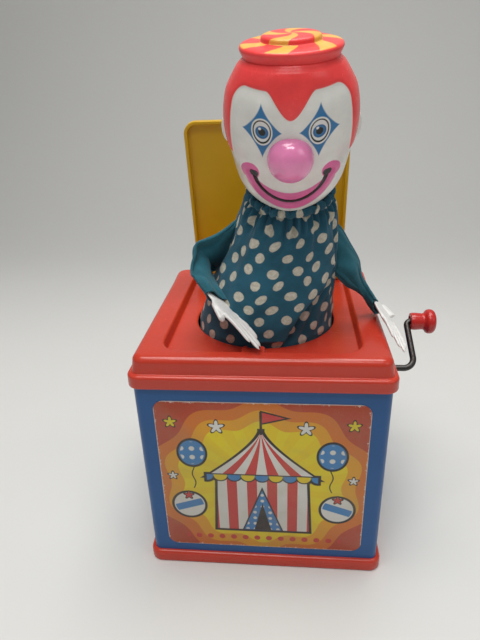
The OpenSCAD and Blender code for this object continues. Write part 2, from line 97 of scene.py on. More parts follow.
class Mat:
    """A node material with a Principled shader and short ways to build its inputs."""

    def __init__(self, name):
        self.m = bpy.data.materials.new(name)
        self.m.use_nodes = True
        self.t = self.m.node_tree
        self.t.nodes.clear()
        out = self.t.nodes.new("ShaderNodeOutputMaterial")
        self.b = self.t.nodes.new("ShaderNodeBsdfPrincipled")
        self.t.links.new(self.b.outputs[0], out.inputs[0])
        self._mm = None

    def new(self, kind, **kw):
        n = self.t.nodes.new(kind)
        for k, v in kw.items():
            setattr(n, k, v)
        return n

    def put(self, sock, v):
        if isinstance(v, Val):
            self.t.links.new(v.sock, sock)
        elif isinstance(v, bpy.types.NodeSocket):
            self.t.links.new(v, sock)
        elif isinstance(v, (tuple, list)):
            sock.default_value = tuple(v) + (1.0,) if len(v) == 3 and len(sock.default_value) == 4 else tuple(v)
        else:
            sock.default_value = v

    def set(self, **kw):
        for k, v in kw.items():
            self.put(self.b.inputs[k.replace("_", " ")], v)
        return self

    def math(self, op, a, b=None, c=None):
        n = self.new("ShaderNodeMath", operation=op)
        for i, v in enumerate((a, b, c)):
            if v is not None:
                self.put(n.inputs[i], v)
        return Val(self, n.outputs[0])

    def mm(self):
        """Object coordinates in millimetres."""
        if self._mm is None:
            tc = self.new("ShaderNodeTexCoord")
            s = self.new("ShaderNodeVectorMath", operation="SCALE")
            self.t.links.new(tc.outputs["Object"], s.inputs[0])
            s.inputs["Scale"].default_value = 1000.0
            self._mm = s.outputs[0]
        return self._mm

    def uv(self, scale):
        n = self.new("ShaderNodeUVMap", uv_map="cloth")
        s = self.new("ShaderNodeVectorMath", operation="SCALE")
        self.t.links.new(n.outputs[0], s.inputs[0])
        s.inputs["Scale"].default_value = scale
        return s.outputs[0]

    def split(self, vec):
        n = self.new("ShaderNodeSeparateXYZ")
        self.put(n.inputs[0], vec)
        return [Val(self, n.outputs[i]) for i in range(3)]

    def join(self, x, y, z):
        n = self.new("ShaderNodeCombineXYZ")
        for i, v in enumerate((x, y, z)):
            self.put(n.inputs[i], v)
        return n.outputs[0]

    def stretch(self, vec, s):
        n = self.new("ShaderNodeVectorMath", operation="MULTIPLY")
        self.put(n.inputs[0], vec)
        n.inputs[1].default_value = s
        return n.outputs[0]

    def noise(self, scale, detail=3.0, rough=0.55, vec=None, warp=0.0):
        n = self.new("ShaderNodeTexNoise")
        self.put(n.inputs["Vector"], self.mm() if vec is None else vec)
        n.inputs["Scale"].default_value = scale
        n.inputs["Detail"].default_value = detail
        n.inputs["Roughness"].default_value = rough
        n.inputs["Distortion"].default_value = warp
        return Val(self, n.outputs[0])

    def cells(self, scale, vec=None):
        n = self.new("ShaderNodeTexVoronoi", feature="F1")
        self.put(n.inputs["Vector"], self.mm() if vec is None else vec)
        n.inputs["Scale"].default_value = scale
        return Val(self, n.outputs["Distance"])

    def ramp(self, v, a, b, lo=0.0, hi=1.0, kind="SMOOTHSTEP"):
        n = self.new("ShaderNodeMapRange", interpolation_type=kind, clamp=True)
        self.put(n.inputs["Value"], v)
        for k, x in (("From Min", a), ("From Max", b), ("To Min", lo), ("To Max", hi)):
            self.put(n.inputs[k], x)
        return Val(self, n.outputs["Result"])

    def mix(self, fac, a, b, mode="MIX"):
        n = self.new("ShaderNodeMix", data_type="RGBA", blend_type=mode, clamp_factor=True)
        self.put(n.inputs[0], fac)
        self.put(n.inputs[6], a)
        self.put(n.inputs[7], b)
        return n.outputs[2]

    def bump(self, height, dist, strength=1.0, prev=None):
        n = self.new("ShaderNodeBump")
        self.put(n.inputs["Height"], height)
        n.inputs["Distance"].default_value = dist
        n.inputs["Strength"].default_value = strength
        if prev is not None:
            self.t.links.new(prev, n.inputs["Normal"])
        return n.outputs[0]

    def edge(self):
        return Val(self, self.new("ShaderNodeNewGeometry").outputs["Pointiness"])


def isv(*a):
    return next((x for x in a if isinstance(x, Val)), None)


def vsqrt(a):
    return a.mat.math("SQRT", a) if isv(a) else np.sqrt(a)


def vmin(a, b):
    v = isv(a, b)
    return v.mat.math("MINIMUM", a, b) if v else np.minimum(a, b)


def vmax(a, b):
    v = isv(a, b)
    return v.mat.math("MAXIMUM", a, b) if v else np.maximum(a, b)


def vatan2(a, b):
    v = isv(a, b)
    return v.mat.math("ARCTAN2", a, b) if v else np.arctan2(a, b)


def vcos(a):
    return a.mat.math("COSINE", a) if isv(a) else np.cos(a)


def vsin(a):
    return a.mat.math("SINE", a) if isv(a) else np.sin(a)


def vpow(a, e):
    return a.mat.math("POWER", a, e) if isv(a) else np.power(a, e)


def vfloor(a):
    return a.mat.math("FLOOR", a) if isv(a) else np.floor(a)


def vmod(a, e):
    return a.mat.math("FLOORED_MODULO", a, e) if isv(a) else np.mod(a, e)


def vsign(a):
    return a.mat.math("SIGN", a) if isv(a) else np.sign(a)


def vstep(v, a, b):
    """0 up to a, 1 from b, smooth between."""
    if isv(v):
        return v.mat.ramp(v, a, b)
    t = np.clip((v - a) / (b - a), 0, 1)
    return t * t * (3 - 2 * t)


def vlen(a, b):
    return vsqrt(a * a + b * b)


def cover(d, w=0.35):
    """1 inside a shape, 0 outside, for its distance in mm."""
    if isv(d):
        return d.mat.ramp(d, -w / 2, w / 2, 1.0, 0.0, "LINEAR")
    return np.clip(0.5 - d / w, 0, 1)


# ------------------------------------------------------------------ mesh making
def obj_of(name, v, f, mat, smooth=True, sharp=None, matrix=None, uv=None):
    me = bpy.data.meshes.new(name)
    v = np.asarray(v, float) * MM
    me.from_pydata(v.tolist(), [], [list(map(int, q)) for q in f])
    me.materials.append(mat.m if isinstance(mat, Mat) else mat)
    if uv is not None:
        lay = me.uv_layers.new(name="cloth")
        idx = np.zeros(len(me.loops), np.int32)
        me.loops.foreach_get("vertex_index", idx)
        uv = np.asarray(uv, np.float32)
        data = uv[idx] if uv.ndim == 2 and len(uv) == len(v) else uv
        lay.data.foreach_set("uv", np.ascontiguousarray(data, np.float32).ravel())
    me.validate()
    me.update()
    me.polygons.foreach_set("use_smooth", [smooth] * len(me.polygons))
    if sharp:
        me.set_sharp_from_angle(angle=math.radians(sharp))
    o = bpy.data.objects.new(name, me)
    bpy.context.scene.collection.objects.link(o)
    if matrix is not None:
        o.matrix_world = matrix
    return o


def outward(o):
    bm = bmesh.new()
    bm.from_mesh(o.data)
    bmesh.ops.recalc_face_normals(bm, faces=bm.faces)
    bm.to_mesh(o.data)
    bm.free()
    return o


def apply_mods(o):
    dg = bpy.context.evaluated_depsgraph_get()
    dg.update()
    me = bpy.data.meshes.new_from_object(o.evaluated_get(dg), depsgraph=dg)
    o.modifiers.clear()
    old = o.data
    o.data = me
    bpy.data.meshes.remove(old)
    me.name = o.name
    return o


def cut(o, tools, sharp=35):
    """Takes solids away from o."""
    for t in tools:
        m = o.modifiers.new("cut", "BOOLEAN")
        m.operation, m.solver, m.object = "DIFFERENCE", "EXACT", t
        apply_mods(o)
    for t in tools:
        bpy.data.objects.remove(t)
    o.data.polygons.foreach_set("use_smooth", [True] * len(o.data.polygons))
    o.data.set_sharp_from_angle(angle=math.radians(sharp))
    return o


def box_tool(x0, x1, y0, y1, z0, z1):
    v = [(x, y, z) for x in (x0, x1) for y in (y0, y1) for z in (z0, z1)]
    f = [(0, 1, 3, 2), (4, 6, 7, 5), (0, 4, 5, 1), (2, 3, 7, 6), (0, 2, 6, 4), (1, 5, 7, 3)]
    return outward(obj_of("tool", v, f, bpy.data.materials[0] if bpy.data.materials else None))


def settle(o, body, replaces=()):
    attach(o, body)
    if replaces:
        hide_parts(*replaces)
    return o


def loft(loops, closed=True, cap0=False, cap1=False, ring=False):
    """Quads between loops of the same length. ring joins the last loop to the first."""
    loops = [np.asarray(q, float) for q in loops]
    n, v, f = len(loops[0]), np.concatenate(loops), []
    m = len(loops)
    for i in range(m if ring else m - 1):
        a0, b0 = i * n, ((i + 1) % m) * n
        for k in range(n if closed else n - 1):
            j = (k + 1) % n
            f.append((a0 + k, a0 + j, b0 + j, b0 + k))
    if cap0:
        f.append(tuple(range(n - 1, -1, -1)))
    if cap1:
        f.append(tuple((m - 1) * n + k for k in range(n)))
    return v, f


def rrect(x0, x1, y0, y1, r, nc=12, ns=22):
    """Points round a rectangle with round corners: r is one radius or (front left, front right, back right, back left)."""
    r = [r] * 4 if np.isscalar(r) else list(r)
    cs = [(x0 + r[0], y0 + r[0], math.pi, r[0]), (x1 - r[1], y0 + r[1], 1.5 * math.pi, r[1]), (x1 - r[2], y1 - r[2], 0.0, r[2]), (x0 + r[3], y1 - r[3], 0.5 * math.pi, r[3])]
    out = []
    for i, (cx, cy, a, q) in enumerate(cs):
        arc = [(cx + q * math.cos(a + t), cy + q * math.sin(a + t)) for t in np.linspace(0, math.pi / 2, nc)]
        out += arc
        nx, ny, na, nq = cs[(i + 1) % 4]
        e = (nx + nq * math.cos(na), ny + nq * math.sin(na))
        out += [tuple(np.array(arc[-1]) + (np.array(e) - arc[-1]) * t) for t in np.linspace(0, 1, ns + 1)[1:-1]]
    return np.array(out)


def at_z(p, z):
    z = np.full(len(p), z, float) if np.isscalar(z) else z
    return np.c_[p, z]


def arc(cx, cz, r, a0, a1, n=6):
    return [(cx + r * math.cos(math.radians(a)), cz + r * math.sin(math.radians(a))) for a in np.linspace(a0, a1, n)]


def lathe(prof, n=96, cap=True):
    """Surface of revolution about z through (radius, height) points; a zero radius at an end closes it."""
    v, f, rows = [], [], []
    for r, z in prof:
        if r < 1e-6:
            rows.append([len(v)] * n)
            v.append((0, 0, z))
        else:
            rows.append(list(range(len(v), len(v) + n)))
            v += [(r * math.cos(2 * math.pi * k / n), r * math.sin(2 * math.pi * k / n), z) for k in range(n)]
    for a, b in zip(rows[:-1], rows[1:]):
        for k in range(n):
            j = (k + 1) % n
            q = [a[k], a[j], b[j], b[k]]
            q = [x for i, x in enumerate(q) if x not in q[:i]]
            if len(q) > 2:
                f.append(tuple(q))
    return np.array(v, float), f


def fair(pts, n):
    """A smooth curve through points (rows of any width), n rows out, chord-length spaced."""
    p = np.asarray(pts, float)
    d = np.r_[0, np.cumsum(np.linalg.norm(np.diff(p[:, :3], axis=0), axis=1))]
    t = np.linspace(0, d[-1], n)
    h = np.diff(d)
    s = np.diff(p, axis=0) / h[:, None]
    m = np.zeros_like(p)
    m[1:-1] = (s[:-1] * h[1:, None] + s[1:] * h[:-1, None]) / (h[1:] + h[:-1])[:, None]
    m[0], m[-1] = s[0], s[-1]
    i = np.clip(np.searchsorted(d, t, side="right") - 1, 0, len(h) - 1)
    u = ((t - d[i]) / h[i])[:, None]
    hh = h[i][:, None]
    return (2 * u**3 - 3 * u**2 + 1) * p[i] + (u**3 - 2 * u**2 + u) * hh * m[i] + (3 * u**2 - 2 * u**3) * p[i + 1] + (u**3 - u**2) * hh * m[i + 1]


def sweep(path, radius, n=16, caps=True):
    """A round tube along a path, without twist."""
    p = np.asarray(path, float)
    t = np.gradient(p, axis=0)
    t /= np.linalg.norm(t, axis=1)[:, None]
    ref = np.array((0.0, 0.0, 1.0)) if abs(t[0][2]) < 0.9 else np.array((1.0, 0.0, 0.0))
    u = np.cross(t[0], ref)
    loops = []
    r = np.full(len(p), radius, float) if np.isscalar(radius) else radius
    for i in range(len(p)):
        u = u - t[i] * (u @ t[i])
        u /= np.linalg.norm(u)
        w = np.cross(t[i], u)
        a = np.linspace(0, 2 * math.pi, n, endpoint=False)
        loops.append(p[i] + r[i] * (np.cos(a)[:, None] * u + np.sin(a)[:, None] * w))
    return loft(loops, cap0=caps, cap1=caps)


def waves(theta, z, count, kmin, kmax, zscale, seed):
    """Smooth random folds, about -1 to 1, round and along a tube."""
    g = np.random.default_rng(seed)
    out = np.zeros(np.broadcast(theta, z).shape)
    for _ in range(count):
        k = g.integers(kmin, kmax + 1)
        out = out + g.normal() * np.cos(k * theta + g.uniform(0, 2 * math.pi) + g.normal() * z / zscale)
    return out / math.sqrt(count)


head_m = Matrix.Translation(HEAD * MM) @ Matrix.Rotation(LEAN, 4, "X")
hat_m = head_m @ Matrix.Translation((0, 0, 29 * MM)) @ Matrix.Rotation(-HAT_TILT, 4, "X")
lid_m = np.array(((1, 0, 0), (0, math.cos(LID_OPEN), math.sin(LID_OPEN)), (0, -math.sin(LID_OPEN), math.cos(LID_OPEN))))


def open_lid(p):
    """From the closed lid's place to the open one's."""
    c = np.array((0, HINGE[0], HINGE[1]))
    return (np.asarray(p, float) - c) @ lid_m.T + c


def on_crank(p):
    p = np.asarray(p, float)
    c, s = math.cos(CRANK_TURN), math.sin(CRANK_TURN)
    return np.c_[p[:, 0], p[:, 1] * c + p[:, 2] * s, -p[:, 1] * s + p[:, 2] * c + CRANK_Z]


# ------------------------------------------------------------------ materials
def tint(c, k):
    return tuple(min(1.0, x * k) for x in c)


def plastic(name, col, rough=0.3, wear=0.35, peel=1.0, dust=0.05, spec=0.5):
    m = Mat(name)
    cloud, mid, fine = m.noise(0.03, 3, 0.6), m.noise(0.45, 4, 0.6), m.noise(2.6, 2, 0.5)
    grit = m.ramp(m.noise(1.1, 6, 0.72), 0.60, 0.74)
    rub = m.ramp(m.edge(), 0.51, 0.58) * m.ramp(mid, 0.42, 0.62)
    c = m.mix(m.ramp(cloud, 0.3, 0.7), tint(col, 0.95), tint(col, 1.04))
    c = m.mix(rub * wear, c, tuple(0.6 * x + 0.30 for x in col))
    c = m.mix(grit * dust, c, tuple(0.5 * x + 0.09 for x in col))
    scr = m.ramp(m.noise(0.5, 6, 0.75, m.stretch(m.mm(), (0.15, 3.2, 1.1))), 0.62, 0.66)
    scr2 = m.ramp(m.noise(0.5, 6, 0.75, m.stretch(m.mm(), (2.6, 0.9, 0.12))), 0.63, 0.67)
    m.set(Base_Color=c, Roughness=rough + (mid - 0.5) * 0.10 + grit * 0.06 + (scr + scr2) * 0.05)
    m.set(Specular_IOR_Level=spec)
    n = m.bump(fine, 0.00004 * peel, 0.35)
    n = m.bump(cloud, 0.0012, 0.22, n)
    m.put(m.b.inputs["Normal"], m.bump((scr + scr2) * -1.0, 0.00002, 0.3, n))
    return m


def metal(name, col, rough, rust=0.25, brushed=(0.2, 6.0, 6.0)):
    m = Mat(name)
    line = m.noise(1.6, 4, 0.6, m.stretch(m.mm(), brushed))
    spot = m.ramp(m.noise(0.35, 5, 0.65), 0.5, 0.72)
    c = m.mix(line, tint(col, 0.8), tint(col, 1.15))
    c = m.mix(spot * rust, c, (0.10, 0.055, 0.03))
    m.set(Base_Color=c, Metallic=1.0, Roughness=rough + (line - 0.5) * 0.25 + spot * 0.2)
    m.put(m.b.inputs["Normal"], m.bump(line, 0.00003, 0.6, m.bump(spot, 0.00006, 0.5)))
    return m


RED = (0.56, 0.045, 0.023)
BLUE = (0.016, 0.098, 0.285)
YELLOW = (0.66, 0.39, 0.004)
IVORY = (0.62, 0.58, 0.46)
CORAL = (0.95, 0.070, 0.070)
WHITE = (0.86, 0.85, 0.80)
PINK = (0.80, 0.16, 0.38)
INK = (0.010, 0.010, 0.012)
TEAL = (0.024, 0.114, 0.172)
SKY = (0.035, 0.19, 0.42)

red = plastic("red_plastic_moulded", RED, 0.24, wear=0.08)
blue = plastic("blue_plastic_moulded", BLUE, 0.32, wear=0.0, dust=0.03, spec=0.4)
yellow = plastic("yellow_plastic_moulded", YELLOW, 0.34, wear=0.06, spec=0.35)
ivory = plastic("ivory_nylon", IVORY, 0.42, wear=0.0)
knob_red = plastic("knob_red_plastic", (0.50, 0.022, 0.018), 0.26)
white_hand = plastic("white_hand_plastic", (0.82, 0.81, 0.79), 0.4, wear=0.0, dust=0.06)
steel = metal("zinc_steel", (0.56, 0.56, 0.55), 0.34)
dark = metal("dark_wire_steel", (0.075, 0.072, 0.07), 0.42, 0.45, (0.3, 3.0, 3.0))
spring_steel = metal("spring_steel", (0.36, 0.36, 0.37), 0.32, 0.35)


def cotton(name, base, dotted):
    """Printed cotton: threads, slubs, tone that varies at random, and spots that follow the cloth."""
    m = Mat(name)
    uv = m.uv(100.0)
    u, v, _ = m.split(uv)
    warp, weft = vsin(u * (2 * math.pi / 0.42)), vsin(v * (2 * math.pi / 0.46))
    weave = warp * weft
    slub = m.noise(1.2, 3, 0.6, m.stretch(uv, (0.25, 3.0, 1.0)))
    slub2 = m.noise(1.2, 3, 0.6, m.stretch(uv, (3.0, 0.25, 1.0)))
    fade = m.noise(0.06, 3, 0.6, uv)
    c = m.mix(m.ramp(fade, 0.3, 0.7), tint(base, 0.84), tint(base, 1.2))
    c = m.mix(m.ramp(slub, 0.45, 0.75) * 0.35, c, tint(base, 1.7))
    c = m.mix(m.ramp(slub2, 0.5, 0.8) * 0.3, c, tint(base, 0.55))
    if dotted:
        du, dv = 13.6, 8.5
        row = vfloor(v / dv)
        uo = u + vmod(row, 2.0) * (du / 2)
        col = vfloor(uo / du)
        w = m.new("ShaderNodeTexWhiteNoise", noise_dimensions="2D")
        m.put(w.inputs["Vector"], m.join(col, row, 0.0))
        ja, jb, jc = m.split(w.outputs["Color"])
        lu = uo - (col + 0.5) * du - (ja - 0.5) * 2.6
        lv = v - (row + 0.5) * dv - (jb - 0.5) * 2.2
        edge = (m.noise(0.9, 2, 0.5, uv) - 0.5) * 0.5
        d = vlen(lu * (1.0 + (jc - 0.5) * 0.30), (lv + lu * (ja - 0.5) * 0.5) * 0.90) - 2.75 - edge
        spot = cover(d, 0.4)
        cream = m.mix(m.ramp(m.noise(0.5, 4, 0.65, uv), 0.35, 0.7), (0.58, 0.54, 0.43), (0.76, 0.73, 0.62))
        cream = m.mix(m.ramp(slub, 0.5, 0.75) * 0.3, cream, (0.34, 0.35, 0.31))
        c = m.mix(spot, c, cream)
    c = m.mix((weave * 0.5 + 0.5) * 0.22, c, (0.0, 0.004, 0.006))
    m.set(Base_Color=c, Roughness=0.86 + (slub - 0.5) * 0.1, Specular_IOR_Level=0.2, Sheen_Weight=0.12, Sheen_Roughness=0.5)
    n = m.bump(weave, 0.00007, 0.55)
    n = m.bump(slub + slub2, 0.00010, 0.45, n)
    m.put(m.b.inputs["Normal"], m.bump(m.noise(0.22, 4, 0.6, uv), 0.0006, 0.35, n))
    return m


suit_mat = cotton("dotted_cotton", TEAL, True)
sleeve_mat = cotton("plain_cotton", (0.028, 0.148, 0.196), False)
band_mat = cotton("elastic_band", (0.015, 0.12, 0.165), False)


# ---- the clown's face: one set of shapes for both the relief and the paint, in head coordinates
def hair_edge(x, y, z):
    """Distance to the hair's edge, below nought in the hair: two arches over the brows, a peak and sideburns."""
    az = vatan2(abs(x), -1.0 * y)
    above = 26.4 - (1.0 - vstep(az, 0.0, 0.42)) * 10.5 - z
    beside = vmax((1.07 - az) * 29.0, (-5.0 - 16.0 * vstep(az, 1.75, 2.1)) - z)
    return 8.0 - vlen(vmax(8.0 - above, 0.0), vmax(8.0 - beside, 0.0))


def face_shapes(x, z):
    ax = abs(x)
    lips = vmax(vmax(vlen(x, z + 8.5) - 21.0, 20.8 - vlen(x, z - 1.3)), z + 8.0)
    lips = vmin(lips, vlen(ax - 18.3, z + 9.2) - 4.3)
    line = vmax(abs(vlen(x, z + 8.0) - 16.6) - 1.1, z + 9.8)
    line = vmin(line, vlen(ax - 16.5, z + 9.8) - 2.0)
    ex, ez = ax - 12.2, z - 10.4
    eye = (vlen(ex / 3.6, ez / 4.7) - 1.0) * 4.0
    iris = vlen(ex, ez + 0.5) - 2.85
    pupil = vlen(ex, ez + 0.5) - 1.6
    sx = x - 12.2 * vsign(x)
    glint = vlen(sx + 0.9, ez - 0.9) - 0.62
    mark = (vpow(abs(ex) / 8.6 + 0.0001, 0.8) + vpow(abs(ez) / 11.6 + 0.0001, 0.8) - 1.0) * 4.4
    mark = vmax(mark, 1.1 - eye)
    blush = vlen(ax - 23.0, z + 3.0)
    return dict(lips=lips, line=line, eye=eye, iris=iris, pupil=pupil, glint=glint, mark=mark, blush=blush)


def face_material():
    m = Mat("clown_face_paint")
    x, y, z = m.split(m.mm())
    s = face_shapes(x, z)
    front = cover(y + 6.0, 2.0)
    blotch = m.noise(0.12, 4, 0.6)
    c = m.mix(m.ramp(blotch, 0.3, 0.75), tint(WHITE, 0.95), tint(WHITE, 1.04))
    c = m.mix(m.ramp(s["blush"], 1.0, 6.0, 0.16, 0.0) * front, c, (0.80, 0.34, 0.40))
    c = m.mix(cover(s["mark"], 0.3) * front, c, SKY)
    c = m.mix(cover(s["eye"] - 0.45, 0.3) * front, c, INK)
    c = m.mix(cover(s["eye"] + 0.15, 0.3) * front, c, (0.82, 0.82, 0.80))
    c = m.mix(cover(vmax(s["iris"], s["eye"] + 0.2), 0.3) * front, c, m.mix(m.ramp(s["iris"], -2.7, -0.2), (0.12, 0.42, 0.72), (0.02, 0.13, 0.33)))
    c = m.mix(cover(s["pupil"], 0.3) * front, c, INK)
    c = m.mix(cover(s["glint"], 0.25) * front, c, (0.9, 0.9, 0.9))
    c = m.mix(cover(s["lips"] + (m.noise(0.5, 2) - 0.5) * 0.25, 0.35) * front, c, m.mix(m.ramp(blotch, 0.3, 0.7), tint(PINK, 0.92), tint(PINK, 1.06)))
    c = m.mix(cover(s["line"] + (m.noise(0.6, 2) - 0.5) * 0.2, 0.3) * front, c, INK)
    hair = cover(hair_edge(x, y, z), 0.5)
    coral = m.mix(m.ramp(blotch, 0.3, 0.7), tint(CORAL, 0.93), tint(CORAL, 1.07))
    c = m.mix(hair, c, coral)
    grime = m.ramp(m.noise(0.7, 6, 0.72), 0.6, 0.74)
    c = m.mix(grime * 0.06, c, (0.25, 0.22, 0.18))
    m.set(Base_Color=c, Roughness=0.21 + (blotch - 0.5) * 0.10 + hair * 0.05, Specular_IOR_Level=0.42)
    n = m.bump(m.noise(2.2, 2), 0.00004, 0.4)
    m.put(m.b.inputs["Normal"], m.bump(blotch, 0.0008, 0.2, n))
    return m


def hat_material():
    """Coral with curved yellow sweeps that run from the middle to the edge."""
    m = Mat("hat_swirl_paint")
    x, y, z = m.split(m.mm())
    r = vlen(x, y)
    a = vatan2(y, x)
    brim = cover(13.2 - r, 0.2)
    turn = (a * (6.0 / (2 * math.pi)) + r * 0.030 + 0.62) * brim + (a * (4.0 / (2 * math.pi)) + r * 0.052 + 0.10) * (1.0 - brim)
    w = abs(vmod(turn, 1.0) - 0.5)
    d = (w - 0.215) * r * (1.05 * brim + 1.55 * (1.0 - brim))
    face_up = cover(6.7 - z, 0.4)
    swirl = cover(d + (m.noise(0.4, 2) - 0.5) * 0.4, 0.35) * face_up * cover(r - 21.6, 0.5)
    blotch = m.noise(0.12, 4, 0.6)
    coral = m.mix(m.ramp(blotch, 0.3, 0.7), tint(CORAL, 0.92), tint(CORAL, 1.08))
    gold = m.mix(m.ramp(blotch, 0.3, 0.7), (0.84, 0.43, 0.075), (0.91, 0.52, 0.11))
    c = m.mix(swirl, coral, gold)
    rub = m.ramp(m.edge(), 0.52, 0.6) * m.ramp(m.noise(0.5, 4), 0.45, 0.65)
    c = m.mix(rub * 0.3, c, (0.85, 0.45, 0.38))
    grime = m.ramp(m.noise(0.7, 6, 0.72), 0.6, 0.74)
    c = m.mix(grime * 0.10, c, (0.25, 0.12, 0.08))
    m.set(Base_Color=c, Roughness=0.33 + (blotch - 0.5) * 0.12, Specular_IOR_Level=0.4)
    m.put(m.b.inputs["Normal"], m.bump(m.noise(2.2, 2), 0.00004, 0.4))
    return m


def vinyl(name, col, rough, coat=0.0):
    m = Mat(name)
    blotch, fine = m.noise(0.14, 4, 0.6), m.noise(2.4, 2)
    grime = m.ramp(m.noise(0.7, 6, 0.72), 0.6, 0.74)
    c = m.mix(m.ramp(blotch, 0.3, 0.7), tint(col, 0.93), tint(col, 1.05))
    c = m.mix(grime * 0.10, c, (0.25, 0.2, 0.18))
    m.set(Base_Color=c, Roughness=rough + (blotch - 0.5) * 0.12 + grime * 0.1, Coat_Weight=coat, Coat_Roughness=0.12)
    m.put(m.b.inputs["Normal"], m.bump(fine, 0.00004, 0.4, m.bump(blotch, 0.0008, 0.2)))
    return m


face_mat = face_material()
hat_mat = hat_material()
ear_mat = vinyl("ear_vinyl", WHITE, 0.36)
nose_mat = vinyl("nose_vinyl", (0.96, 0.28, 0.55), 0.20, 0.8)


